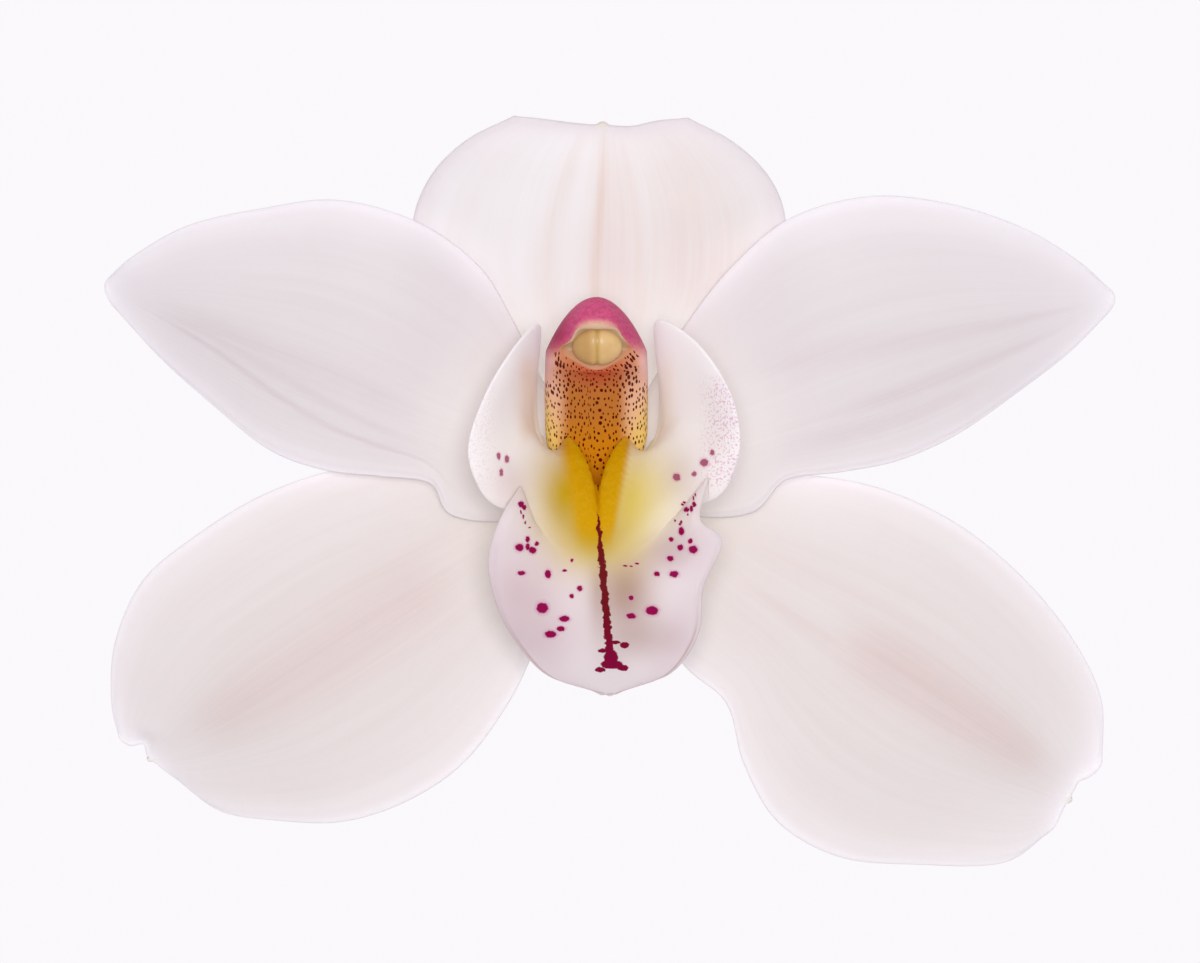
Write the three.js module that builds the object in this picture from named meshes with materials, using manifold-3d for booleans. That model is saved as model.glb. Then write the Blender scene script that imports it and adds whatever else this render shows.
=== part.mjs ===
// A single white cymbidium bloom, cut with a short pedicel and laid face up on a flat surface.
// Millimetres, +Z up. The bloom's own top, its dorsal sepal, points along +Y.
// Every point below is in the flower's frame: its axis is x = y = 0, and z = 0 is the level where
// the sepals leave the receptacle. The last lines set that frame over the surface at z = 0.

import * as THREE from 'three';
import { mergeVertices } from 'three/addons/utils/BufferGeometryUtils.js';
import ManifoldModule from 'manifold-3d';

const wasm = await ManifoldModule();
wasm.setup();

// Height of the flower's frame over the surface, and the shift that centres the bloom's spread.
const REST_HEIGHT = 10.4;
const SPREAD_SHIFT = new THREE.Vector2(-1.07, 2.4);

// Thickness of the fleshy parts at their middle line and at their edges.
const TEPAL_MIDDLE = 1.2;
const TEPAL_EDGE = 0.7;
const LIP_MIDDLE = 1.0;
const LIP_EDGE = 0.65;

// Clearance between a piece and the seat that is cut for it.
const SEAT_GAP = 0.35;

// Each tepal is a sheet hung on three rails, which run from its claw to its tip: the margin on the
// left as one looks along it from the claw, the midrib, and the margin on the right.
const DORSAL_SEPAL = [
  [[-2.8, 3.2, -0.6], [-9.0, 8.0, 0.3], [-15.5, 13.8, 1.1], [-19.8, 20.2, 1.9],
    [-20.6, 26.6, 3.5], [-18.6, 32.0, 6.8], [-14.6, 36.0, 10.2], [-9.2, 38.7, 12.6]],
  [[0.0, 2.8, -0.6], [-0.1, 8.2, 1.8], [-0.2, 13.6, 4.2], [-0.2, 18.9, 6.7],
    [-0.1, 24.1, 9.3], [0.0, 29.1, 11.9], [0.1, 33.7, 13.9], [0.3, 37.5, 14.3]],
  [[2.8, 3.2, -0.6], [9.0, 8.0, 0.3], [15.5, 13.8, 1.1], [19.6, 20.2, 1.9],
    [20.4, 26.8, 3.5], [18.7, 31.7, 6.8], [14.7, 35.7, 10.2], [9.4, 38.5, 12.6]],
];
const PETAL_LEFT = [
  [[-2.6, -2.4, 1.6], [-9.8, -5.4, 2.6], [-16.2, -4.9, 3.4], [-18.6, -1.4, 4.3], [-24.2, -0.6, 4.4],
    [-30.4, 0.1, 3.6], [-36.6, 2.4, 1.6], [-43.0, 7.5, -1.8], [-48.4, 12.3, -5.8], [-54.0, 18.5, -10.2]],
  [[-2.8, 0.6, 1.6], [-8.2, 2.0, 3.6], [-13.8, 3.8, 4.8], [-19.4, 5.8, 5.4], [-25.2, 8.2, 5.4],
    [-31.2, 10.8, 4.6], [-37.2, 13.2, 2.8], [-43.2, 15.6, -0.4], [-48.8, 17.6, -4.8], [-54.4, 20.0, -10.3]],
  [[-2.2, 3.2, 1.6], [-6.2, 9.4, 4.2], [-9.6, 16.2, 6.4], [-13.4, 22.2, 7.7], [-20.2, 27.1, 6.7],
    [-29.0, 29.5, 5.3], [-37.8, 28.5, 2.7], [-45.5, 26.7, -0.8], [-51.3, 23.5, -5.2], [-54.4, 20.9, -10.2]],
];
const PETAL_RIGHT = [
  [[2.2, 3.2, 1.6], [5.8, 9.6, 4.2], [9.5, 15.8, 6.4], [14.6, 22.2, 7.5], [21.0, 27.5, 6.6],
    [29.6, 29.9, 5.2], [38.2, 29.2, 2.6], [46.2, 26.7, -1.0], [52.3, 23.2, -5.4], [56.2, 19.9, -10.2]],
  [[2.8, 0.6, 1.6], [8.4, 1.8, 3.6], [14.2, 3.4, 4.8], [20.2, 5.2, 5.4], [26.2, 7.2, 5.4],
    [32.4, 9.4, 4.6], [38.6, 11.8, 2.8], [44.8, 14.2, -0.4], [50.8, 16.6, -4.8], [56.6, 19.0, -10.3]],
  [[2.6, -2.4, 1.6], [9.8, -4.9, 2.6], [16.6, -4.6, 3.4], [20.4, -1.0, 4.3], [26.6, -0.1, 4.2],
    [33.0, 1.2, 3.2], [39.4, 4.0, 1.2], [45.6, 8.2, -2.0], [51.6, 12.9, -6.0], [56.4, 17.8, -10.2]],
];
const LATERAL_SEPAL_LEFT = [
  [[-0.9, -3.2, -0.7], [-4.2, -11.6, 0.0], [-7.6, -20.4, 0.5], [-10.7, -26.4, 0.6], [-15.4, -32.4, 0.1],
    [-21.6, -36.5, -1.1], [-28.6, -38.7, -2.9], [-35.8, -38.6, -5.3], [-42.2, -37.2, -8.1], [-46.6, -34.0, -10.3]],
  [[-2.1, -2.0, -0.7], [-8.0, -6.2, 0.2], [-13.8, -10.2, 1.0], [-19.6, -14.0, 1.5], [-25.4, -17.6, 1.6],
    [-31.0, -21.2, 1.1], [-36.4, -24.6, -0.3], [-41.4, -27.6, -2.8], [-45.8, -30.0, -6.3], [-49.4, -31.8, -10.3]],
  [[-3.2, -0.8, -0.7], [-11.5, 0.8, 0.0], [-20.2, 1.6, 0.5], [-28.8, 0.0, 0.6], [-37.1, -2.9, 0.1],
    [-44.5, -7.4, -1.1], [-50.3, -12.3, -3.0], [-53.4, -19.0, -5.6], [-53.9, -25.4, -8.4], [-52.9, -29.8, -10.4]],
];
const LATERAL_SEPAL_RIGHT = [
  [[3.2, -0.8, -0.7], [10.0, -0.2, 0.0], [17.0, -0.4, 0.5], [24.0, -0.8, 0.6], [31.6, -2.4, 0.1],
    [39.4, -6.1, -1.1], [46.2, -11.6, -3.0], [51.6, -18.2, -5.6], [54.8, -25.2, -8.4], [55.0, -32.6, -10.4]],
  [[2.1, -2.0, -0.7], [8.2, -6.6, 0.2], [14.0, -11.0, 1.0], [19.8, -15.2, 1.5], [25.6, -19.2, 1.6],
    [31.4, -23.0, 1.1], [37.2, -26.8, -0.3], [42.8, -30.2, -2.8], [47.8, -33.2, -6.3], [51.8, -35.8, -10.3]],
  [[0.9, -3.2, -0.7], [3.8, -12.4, 0.0], [9.0, -21.0, 0.5], [14.0, -25.6, 0.6], [16.0, -32.4, 0.1],
    [19.8, -38.8, -1.1], [26.6, -42.6, -2.9], [35.0, -43.4, -5.3], [43.8, -43.1, -8.1], [49.7, -39.0, -10.3]],
];

// The lip hangs on five rails: its right margin, right wall, middle line, left wall, left margin.
// Along each it is a claw, two side lobes that stand up beside the column, a notch, the upturned
// corner of the midlobe, and the midlobe, which turns down to its tip.
const LABELLUM = [
  [[1.8, -3.0, 3.2], [5.6, 0.2, 6.2], [7.2, 4.6, 9.4], [6.6, 10.8, 12.8], [6.2, 16.2, 16.8],
    [10.4, 14.0, 19.6], [14.0, 8.8, 21.6], [15.2, 3.2, 21.8], [14.0, -1.4, 19.4], [12.0, -3.2, 18.3],
    [11.7, -1.0, 21.6], [10.8, -5.4, 21.0], [13.2, -8.0, 20.8], [11.2, -12.8, 19.6], [10.5, -17.9, 17.4],
    [7.6, -21.8, 14.6], [1.9, -24.2, 11.8]],
  [[1.0, -3.4, 3.2], [3.5, -2.9, 5.6], [5.2, 0.2, 8.4], [6.3, 2.8, 10.6], [7.3, 4.6, 12.8],
    [8.8, 5.0, 15.2], [10.2, 2.6, 17.2], [10.2, -0.8, 18.4], [9.0, -3.6, 18.3], [7.6, -5.4, 17.9],
    [6.6, -7.2, 17.9], [6.6, -9.4, 18.8], [7.4, -11.8, 19.6], [6.6, -15.4, 18.8], [5.6, -19.2, 16.6],
    [4.2, -22.4, 14.2], [1.5, -24.4, 11.7]],
  [[0.0, -3.5, 3.2], [0.0, -3.1, 5.4], [0.0, -2.5, 7.6], [0.0, -2.1, 9.8], [0.0, -2.3, 11.8],
    [0.0, -3.0, 13.4], [0.0, -4.2, 15.0], [0.0, -5.6, 16.4], [0.1, -7.2, 17.5], [0.2, -8.8, 18.2],
    [0.2, -10.4, 18.6], [0.3, -12.4, 18.8], [0.4, -14.8, 18.4], [0.6, -17.4, 17.4], [0.7, -20.0, 15.8],
    [0.9, -22.4, 13.8], [1.1, -24.5, 11.6]],
  [[-1.0, -3.4, 3.2], [-3.7, -3.0, 5.6], [-5.6, 0.2, 8.4], [-6.8, 2.8, 10.6], [-7.6, 4.6, 12.8],
    [-8.6, 4.8, 15.2], [-9.4, 2.2, 17.2], [-9.4, -1.2, 18.4], [-8.4, -3.8, 18.3], [-7.2, -5.6, 17.9],
    [-6.2, -7.4, 17.9], [-6.2, -9.8, 18.9], [-6.6, -12.6, 19.6], [-6.0, -16.4, 18.6], [-4.4, -19.8, 16.6],
    [-2.2, -22.6, 14.0], [0.6, -24.4, 11.7]],
  [[-1.8, -3.0, 3.2], [-5.8, 0.2, 6.2], [-7.6, 5.2, 9.4], [-7.0, 11.0, 12.8], [-6.7, 15.8, 16.6],
    [-9.2, 13.6, 19.4], [-12.4, 8.4, 21.4], [-14.3, 2.4, 21.6], [-13.0, -2.2, 19.2], [-10.6, -4.0, 18.2],
    [-8.7, -1.9, 21.6], [-11.0, -6.0, 21.4], [-12.1, -10.4, 20.4], [-11.0, -15.4, 18.8], [-8.6, -19.0, 16.6],
    [-5.2, -22.2, 14.0], [0.3, -24.3, 11.8]],
];

// Two yellow keels that the lip's upper face is drawn out into. Each station gives the distance
// along the lip, the keel's place between the middle line and the margin, its half width, how much
// of the way the face is drawn out, and the left keel's crest. The right one mirrors it at x = KEEL_X.
const KEEL_X = -0.35;
const KEEL = [
  { along: 0.12, place: 0.25, halfWidth: 0.08, drawn: 0.0, crest: [-3.45, 1.2, 9.4] },
  { along: 0.17, place: 0.24, halfWidth: 0.08, drawn: 0.8, crest: [-3.75, 2.6, 11.2] },
  { along: 0.21, place: 0.23, halfWidth: 0.08, drawn: 1.0, crest: [-3.55, 3.3, 12.4] },
  { along: 0.26, place: 0.21, halfWidth: 0.09, drawn: 1.0, crest: [-2.65, 2.2, 13.6] },
  { along: 0.31, place: 0.18, halfWidth: 0.10, drawn: 1.0, crest: [-1.95, 0.8, 14.7] },
  { along: 0.36, place: 0.15, halfWidth: 0.10, drawn: 1.0, crest: [-1.45, -1.1, 15.7] },
  { along: 0.41, place: 0.12, halfWidth: 0.09, drawn: 1.0, crest: [-1.25, -3.1, 16.5] },
  { along: 0.45, place: 0.09, halfWidth: 0.08, drawn: 0.8, crest: [-1.05, -4.8, 17.1] },
  { along: 0.50, place: 0.06, halfWidth: 0.07, drawn: 0.0, crest: [-0.85, -6.8, 17.6] },
];

// The column's profile in the plane x = COLUMN_X, from its foot to the rim of its hood: the
// ventral line and the dorsal line as [y, z] pairs, the half width, and how peaked the dorsal side
// is, where 1 is round and 2 is a parabola.
const COLUMN_X = -0.3;
const COLUMN = [
  { ventral: [-2.2, 2.7], dorsal: [3.2, 2.7], halfWidth: 2.8, peak: 1.2 },
  { ventral: [-1.7, 4.7], dorsal: [6.4, 4.2], halfWidth: 3.5, peak: 1.2 },
  { ventral: [0.6, 7.6], dorsal: [9.6, 6.8], halfWidth: 5.4, peak: 1.2 },
  { ventral: [3.6, 10.6], dorsal: [12.7, 10.0], halfWidth: 5.65, peak: 1.2 },
  { ventral: [6.4, 13.8], dorsal: [15.5, 13.6], halfWidth: 5.65, peak: 1.2 },
  { ventral: [8.6, 16.6], dorsal: [17.7, 17.4], halfWidth: 5.6, peak: 1.5 },
  { ventral: [9.8, 18.3], dorsal: [18.9, 20.6], halfWidth: 5.6, peak: 1.9 },
  { ventral: [10.5, 19.2], dorsal: [18.3, 22.4], halfWidth: 5.1, peak: 2.0 },
  { ventral: [11.0, 19.8], dorsal: [16.4, 23.3], halfWidth: 4.2, peak: 1.6 },
];
const COLUMN_WIDEST = 0.36;      // where across its depth the column is widest, from the ventral line
const VENTRAL_SQUARENESS = 3.2;  // above 2 the ventral side is flat

// The anther cap closes the end of the column under the hood.
const CAP_CENTRE = [-0.3, 13.5, 21.7];
const CAP_HALF = [2.7, 2.15, 1.5];
const CAP_TILT = 0.6;            // radians that its face leans towards the lip
const CAP_GROOVE = { depth: 0.16, width: 0.45 };

// The ovary and pedicel in the plane x = 0, from the receptacle to the cut end: [y, z, radius].
const OVARY = [
  [0.0, 2.3, 2.25], [0.0, 0.2, 2.25], [-0.2, -2.0, 2.4], [-1.5, -4.5, 2.8], [-4.5, -6.7, 2.8],
  [-8.4, -7.9, 2.6], [-12.2, -8.25, 2.4], [-16.0, -8.2, 2.25], [-20.0, -8.0, 2.2],
];
const OVARY_RIBS = { count: 6, height: 0.22, twist: 0.9 };

// A smooth curve through points, evenly timed from the first to the last.
function rail(points) {
  return new THREE.CatmullRomCurve3(points.map((p) => new THREE.Vector3(...p)), false, 'catmullrom', 0.5);
}

// The point of a sheet at u, from claw to tip, and v, from the first rail (-1) to the last (1).
function sheetPoint(rails, u, v) {
  const across = rails.map((curve) => curve.getPoint(u));
  return new THREE.CatmullRomCurve3(across, false, 'catmullrom', 0.5).getPoint((v + 1) / 2);
}

// The sheet's normal on the face that the bloom shows.
function sheetNormal(rails, u, v) {
  const step = 0.004;
  const along = sheetPoint(rails, Math.min(u + step, 1), v).sub(sheetPoint(rails, Math.max(u - step, 0), v));
  const aside = sheetPoint(rails, u, Math.min(v + step, 1)).sub(sheetPoint(rails, u, Math.max(v - step, -1)));
  return aside.cross(along).normalize();
}

// A closed blade on rails. halfThickness, in millimetres, is a function of u and v. drawOut moves
// the shown face's point at u and v, and both faces are split along the same diagonals.
function bladeGeometry({ rails: railPoints, rows, columns, halfThickness, drawOut = () => {} }) {
  const rails = railPoints.map(rail);
  const positions = [];
  const index = [];
  const shown = (i, j) => 2 * (i * (columns + 1) + j);
  const back = (i, j) => shown(i, j) + 1;
  for (let i = 0; i <= rows; i += 1) {
    for (let j = 0; j <= columns; j += 1) {
      const u = i / rows;
      const v = (2 * j) / columns - 1;
      const point = sheetPoint(rails, u, v);
      const normal = sheetNormal(rails, u, v);
      const half = halfThickness(u, v);
      const shownPoint = point.clone().addScaledVector(normal, half);
      drawOut(shownPoint, rails, u, v);
      positions.push(...shownPoint.toArray());
      positions.push(...point.clone().addScaledVector(normal, -half).toArray());
    }
  }
  for (let i = 0; i < rows; i += 1) {
    for (let j = 0; j < columns; j += 1) {
      index.push(shown(i, j), shown(i, j + 1), shown(i + 1, j + 1));
      index.push(shown(i, j), shown(i + 1, j + 1), shown(i + 1, j));
      index.push(back(i, j), back(i + 1, j + 1), back(i, j + 1));
      index.push(back(i, j), back(i + 1, j), back(i + 1, j + 1));
    }
  }
  const border = [];
  for (let j = 0; j < columns; j += 1) border.push([0, j]);
  for (let i = 0; i < rows; i += 1) border.push([i, columns]);
  for (let j = columns; j > 0; j -= 1) border.push([rows, j]);
  for (let i = rows; i > 0; i -= 1) border.push([i, 0]);
  border.forEach(([i, j], k) => {
    const [iNext, jNext] = border[(k + 1) % border.length];
    index.push(shown(i, j), back(i, j), back(iNext, jNext));
    index.push(shown(i, j), back(iNext, jNext), shown(iNext, jNext));
  });
  return indexedGeometry(positions, index);
}

// A closed body lofted through rings of the same number of points, with a fan over each end.
function loftGeometry(rings, startPoint, endPoint) {
  const sides = rings[0].length;
  const positions = rings.flat().flatMap((p) => p.toArray());
  const start = rings.length * sides;
  positions.push(...startPoint.toArray(), ...endPoint.toArray());
  const index = [];
  for (let k = 0; k < sides; k += 1) {
    const next = (k + 1) % sides;
    for (let i = 0; i < rings.length - 1; i += 1) {
      const a = i * sides;
      const b = a + sides;
      index.push(a + k, a + next, b + next);
      index.push(a + k, b + next, b + k);
    }
    const last = (rings.length - 1) * sides;
    index.push(start, next, k);
    index.push(start + 1, last + k, last + next);
  }
  return indexedGeometry(positions, index);
}

function indexedGeometry(positions, index) {
  const geometry = new THREE.BufferGeometry();
  geometry.setAttribute('position', new THREE.Float32BufferAttribute(positions, 3));
  geometry.setIndex(index);
  return geometry;
}

// Solids for cutting, and back again.
function solidOf(geometry) {
  const bare = geometry.clone();
  bare.deleteAttribute('normal');
  bare.deleteAttribute('uv');
  const merged = mergeVertices(bare, 1e-4);
  return new wasm.Manifold(new wasm.Mesh({
    numProp: 3,
    vertProperties: new Float32Array(merged.attributes.position.array),
    triVerts: new Uint32Array(merged.index.array),
  }));
}

function geometryOf(solid) {
  const mesh = solid.getMesh();
  return indexedGeometry(Array.from(mesh.vertProperties), Array.from(mesh.triVerts));
}

// Cuts a piece flat where it presses on the surface that the bloom lies on.
function restOnSurface(geometry) {
  const surface = new THREE.BoxGeometry(200, 200, 20);
  surface.translate(0, 0, -REST_HEIGHT - 10);
  return geometryOf(solidOf(geometry).subtract(solidOf(surface)));
}

// Sepals and petals: thickest along the midrib and at the claw, with a shallow groove on the rib.
function tepalGeometry(rails) {
  return bladeGeometry({
    rails,
    rows: 22,
    columns: 12,
    halfThickness: (u, v) => (TEPAL_EDGE + (TEPAL_MIDDLE - TEPAL_EDGE) * (1 - v * v) * (1 - 0.5 * u)) / 2,
  });
}

// Draws the lip's upper face out towards the crests of its two keels.
function drawOutKeels(point, rails, u, v) {
  const last = KEEL.length - 1;
  if (u <= KEEL[0].along || u >= KEEL[last].along) return;
  const next = KEEL.findIndex((station) => station.along > u);
  const [before, after] = [KEEL[next - 1], KEEL[next]];
  const share = (u - before.along) / (after.along - before.along);
  const between = (key) => THREE.MathUtils.lerp(before[key], after[key], share);
  const leftCrest = new THREE.Vector3(...before.crest).lerp(new THREE.Vector3(...after.crest), share);
  for (const hand of [-1, 1]) {
    const crest = leftCrest.clone();
    if (hand < 0) crest.x = 2 * KEEL_X - crest.x;
    const foot = sheetPoint(rails, u, hand * between('place'));
    const nearness = Math.exp(-(((hand * v - between('place')) / between('halfWidth')) ** 2));
    point.addScaledVector(crest.sub(foot), nearness * between('drawn'));
  }
}

function labellumGeometry() {
  return bladeGeometry({
    rails: LABELLUM,
    rows: 48,
    columns: 40,
    halfThickness: (u, v) => THREE.MathUtils.lerp(LIP_MIDDLE, LIP_EDGE, Math.abs(v)) / 2,
    drawOut: drawOutKeels,
  });
}

// One ring of the column between its ventral and dorsal points.
function columnRing({ ventral, dorsal, halfWidth, peak }, sides) {
  const low = new THREE.Vector3(COLUMN_X, ...ventral);
  const depth = new THREE.Vector3(COLUMN_X, ...dorsal).sub(low);
  const ring = [];
  for (let k = 0; k < sides; k += 1) {
    const angle = (2 * Math.PI * k) / sides;
    const dorsalSide = Math.sin(angle) > 0;
    const reach = dorsalSide ? 1 - COLUMN_WIDEST : -COLUMN_WIDEST;
    const asidePower = dorsalSide ? 1 : 2 / VENTRAL_SQUARENESS;
    const aside = Math.sign(Math.cos(angle)) * Math.abs(Math.cos(angle)) ** asidePower;
    const rise = Math.abs(Math.sin(angle)) ** (dorsalSide ? peak : 2 / VENTRAL_SQUARENESS);
    const point = low.clone().addScaledVector(depth, COLUMN_WIDEST + reach * rise);
    ring.push(point.add(new THREE.Vector3(halfWidth * aside, 0, 0)));
  }
  return ring;
}

function middleOf(points) {
  return points.reduce((sum, p) => sum.add(p), new THREE.Vector3()).divideScalar(points.length);
}

// The column: a fleshy club, flat in front, with a hood over the seat of the anther cap.
function columnGeometry() {
  const rings = COLUMN.map((station) => columnRing(station, 28));
  const body = loftGeometry(rings, middleOf(rings[0]), middleOf(rings.at(-1)));
  return geometryOf(solidOf(body).subtract(solidOf(capGeometry(SEAT_GAP))));
}

// The anther cap: a two-lobed helmet. grow makes the larger copy that cuts its seat.
function capGeometry(grow) {
  const geometry = new THREE.SphereGeometry(1, 24, 14);
  const position = geometry.attributes.position;
  for (let k = 0; k < position.count; k += 1) {
    const point = new THREE.Vector3().fromBufferAttribute(position, k);
    const groove = CAP_GROOVE.depth * Math.exp(-((point.x / CAP_GROOVE.width) ** 2));
    point.multiplyScalar(1 - groove);
    position.setXYZ(k, ...point.toArray());
  }
  geometry.scale(...CAP_HALF.map((half) => half + grow));
  geometry.rotateX(CAP_TILT);
  geometry.translate(...CAP_CENTRE);
  return geometry;
}

// The ovary and its pedicel: a six-ribbed stalk, twisted half round, that bends back under the lip.
function ovaryGeometry() {
  const path = rail(OVARY.map(([y, z]) => [0, y, z]));
  const radii = rail(OVARY.map(([, , radius]) => [radius, 0, 0]));
  const steps = 26;
  const sides = 24;
  const rings = [];
  for (let i = 0; i <= steps; i += 1) {
    const t = i / steps;
    const centre = path.getPoint(t);
    const tangent = path.getTangent(t);
    const across = new THREE.Vector3(1, 0, 0);
    const aside = new THREE.Vector3().crossVectors(tangent, across);
    const ring = [];
    for (let k = 0; k < sides; k += 1) {
      const angle = (2 * Math.PI * k) / sides;
      const rib = OVARY_RIBS.height * Math.cos(OVARY_RIBS.count * (angle + OVARY_RIBS.twist * t));
      const radius = radii.getPoint(t).x + rib * Math.sin(Math.PI * t);
      const point = centre.clone().addScaledVector(across, radius * Math.cos(angle));
      ring.push(point.addScaledVector(aside, radius * Math.sin(angle)));
    }
    rings.push(ring);
  }
  return loftGeometry(rings, path.getPoint(0), path.getPoint(1));
}

const sepalFlesh = { color: '#eee6e8', roughness: 0.55, metalness: 0 };
const petalFlesh = { color: '#f1eaee', roughness: 0.55, metalness: 0 };
const lipFlesh = { color: '#ecdfe4', roughness: 0.5, metalness: 0 };
const columnFlesh = { color: '#c98a5c', roughness: 0.45, metalness: 0 };
const capFlesh = { color: '#d8c48c', roughness: 0.5, metalness: 0 };
const stalkFlesh = { color: '#b9c58a', roughness: 0.5, metalness: 0 };

function piece(name, geometry, finish) {
  const mesh = new THREE.Mesh(geometry, new THREE.MeshStandardMaterial(finish));
  mesh.name = name;
  return mesh;
}

const bloom = new THREE.Group();
bloom.add(
  piece('dorsal_sepal', tepalGeometry(DORSAL_SEPAL), sepalFlesh),
  piece('lateral_sepal_left', restOnSurface(tepalGeometry(LATERAL_SEPAL_LEFT)), sepalFlesh),
  piece('lateral_sepal_right', restOnSurface(tepalGeometry(LATERAL_SEPAL_RIGHT)), sepalFlesh),
  piece('petal_left', restOnSurface(tepalGeometry(PETAL_LEFT)), petalFlesh),
  piece('petal_right', restOnSurface(tepalGeometry(PETAL_RIGHT)), petalFlesh),
  piece('labellum', labellumGeometry(), lipFlesh),
  piece('column', columnGeometry(), columnFlesh),
  piece('anther_cap', capGeometry(0), capFlesh),
  piece('ovary_and_pedicel', restOnSurface(ovaryGeometry()), stalkFlesh),
);
bloom.position.set(SPREAD_SHIFT.x, SPREAD_SHIFT.y, REST_HEIGHT);

export default bloom;
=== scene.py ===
import bpy
import numpy as np
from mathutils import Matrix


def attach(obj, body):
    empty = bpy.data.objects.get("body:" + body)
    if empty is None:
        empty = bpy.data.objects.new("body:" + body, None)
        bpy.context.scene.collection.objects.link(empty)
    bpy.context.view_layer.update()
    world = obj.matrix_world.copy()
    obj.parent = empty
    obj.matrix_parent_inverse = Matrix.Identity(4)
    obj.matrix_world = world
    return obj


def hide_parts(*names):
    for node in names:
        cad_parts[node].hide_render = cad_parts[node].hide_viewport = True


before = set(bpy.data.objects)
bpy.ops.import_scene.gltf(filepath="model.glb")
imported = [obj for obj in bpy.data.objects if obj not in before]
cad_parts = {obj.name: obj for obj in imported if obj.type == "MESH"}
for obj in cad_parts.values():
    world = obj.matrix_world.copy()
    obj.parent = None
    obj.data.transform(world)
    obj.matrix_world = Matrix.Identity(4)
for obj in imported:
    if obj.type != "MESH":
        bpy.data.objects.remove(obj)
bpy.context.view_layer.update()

# Ovary and pedicel: the seed case behind the bloom is also its stalk, a six-ribbed fleshy rod that
# twisted half round as it grew. It swells into the receptacle that carries the other parts, bends
# back under the lip, and ends in a flat wet cut.
OVARY_PATH = [
    [0.0, 0.0, 2.3], [0.0, 0.0, 0.2], [0.0, -0.2, -2.0], [0.0, -1.5, -4.5], [0.0, -4.5, -6.7],
    [0.0, -8.4, -7.9], [0.0, -12.2, -8.25], [0.0, -16.0, -8.2], [0.0, -20.0, -8.0],
]
OVARY_RADIUS = [2.25, 2.25, 2.4, 2.8, 2.8, 2.6, 2.4, 2.25, 2.2]
OVARY_RIBS, RIB_HEIGHT, RIB_TWIST = 6, 0.24, 0.9
CUT_HOLLOW = 0.15
STALK_STEPS, STALK_SIDES = 120, 96
# The streaks' width, how many lie end to end, half the girth that they go round, and how many
# patches of blush lie in a millimetre.
STREAK_MM, STREAKS_ALONG, HALF_GIRTH, PATCHES_PER_MM = 0.25, 6.0, 7.0, 0.22

# The bloom is measured in millimetres from the middle of its receptacle, and lies on its back with
# that point at this place in the row's frame.
MM = 0.001
FLOWER_CENTRE = np.array([-1.07, 2.4, 10.4])


def smooth_curve(points, t):
    """Points of a Catmull-Rom curve through points, at times t from 0 to 1."""
    points = np.asarray(points, float)
    padded = np.concatenate([2 * points[:1] - points[1:2], points, 2 * points[-1:] - points[-2:-1]])
    place = np.clip(np.asarray(t, float), 0, 1) * (len(points) - 1)
    first = np.minimum(place.astype(int), len(points) - 2)
    w = (place - first).reshape((-1,) + (1,) * (points.ndim - 1))
    before, start, end, after = (padded[first + k] for k in range(4))
    leave, arrive = (end - before) / 2, (after - start) / 2
    cubic = 2 * start - 2 * end + leave + arrive
    square = 3 * end - 3 * start - 2 * leave - arrive
    return ((cubic * w + square) * w + leave) * w + start


def bell(distance, width):
    """A smooth hump, 1 in its middle and 0.37 at its width."""
    return np.exp(-((distance / width) ** 2))


def ramp(value, start, end):
    """A smooth step from 0 at start to 1 at end."""
    t = np.clip((value - start) / (end - start), 0, 1)
    return t * t * (3 - 2 * t)


def colour(hex_code):
    """Linear RGBA of an sRGB hex colour."""
    srgb = np.array([int(hex_code[k:k + 2], 16) / 255 for k in (1, 3, 5)])
    linear = np.where(srgb <= 0.04045, srgb / 12.92, ((srgb + 0.055) / 1.055) ** 2.4)
    return (*linear.tolist(), 1.0)


def add_node(tree, kind, inputs=None, **settings):
    """A node with its settings, and each input given as a value or as the socket that feeds it."""
    new = tree.nodes.new(kind)
    for name, value in settings.items():
        setattr(new, name, value)
    for key, value in (inputs or {}).items():
        if isinstance(value, bpy.types.NodeSocket):
            tree.links.new(value, new.inputs[key])
        else:
            new.inputs[key].default_value = value
    return new


def new_material(name):
    """An empty node material and its tree."""
    material = bpy.data.materials.new(name)
    material.use_nodes = True
    material.node_tree.nodes.clear()
    return material, material.node_tree


def strength(tree, name):
    """The socket of a strength that was painted on the mesh under this name."""
    return add_node(tree, "ShaderNodeAttribute", attribute_name=name).outputs["Fac"]


def lay_colours(tree, first, *layers):
    """Colours laid over each other: each layer is a hex colour and the socket of its strength."""
    below = colour(first)
    for hex_code, cover in layers:
        mix = add_node(tree, "ShaderNodeMix", {0: cover, 6: below, 7: colour(hex_code)}, data_type="RGBA")
        below = mix.outputs[2]
    return below


def add_mesh(name, points, faces, materials, indices):
    """A smooth mesh from points in the bloom's millimetres, with none of them under the surface."""
    placed = np.asarray(points, float) + FLOWER_CENTRE
    placed[:, 2] = np.maximum(placed[:, 2], 0)
    mesh = bpy.data.meshes.new(name)
    mesh.from_pydata((placed * MM).tolist(), [], faces)
    for material in materials:
        mesh.materials.append(material)
    mesh.polygons.foreach_set("material_index", indices)
    mesh.polygons.foreach_set("use_smooth", [True] * len(mesh.polygons))
    obj = bpy.data.objects.new(name, mesh)
    bpy.context.scene.collection.objects.link(obj)
    return obj


def map_points(obj, uv):
    """A UV map named rail, from one pair for each point of the mesh."""
    loops = np.empty(len(obj.data.loops), int)
    obj.data.loops.foreach_get("vertex_index", loops)
    obj.data.uv_layers.new(name="rail").data.foreach_set("uv", np.asarray(uv)[loops].ravel())


def paint(obj, name, values):
    """A strength for each point of the mesh, which a material reads by name."""
    obj.data.attributes.new(name, "FLOAT", "POINT").data.foreach_set("value", values)


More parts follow.
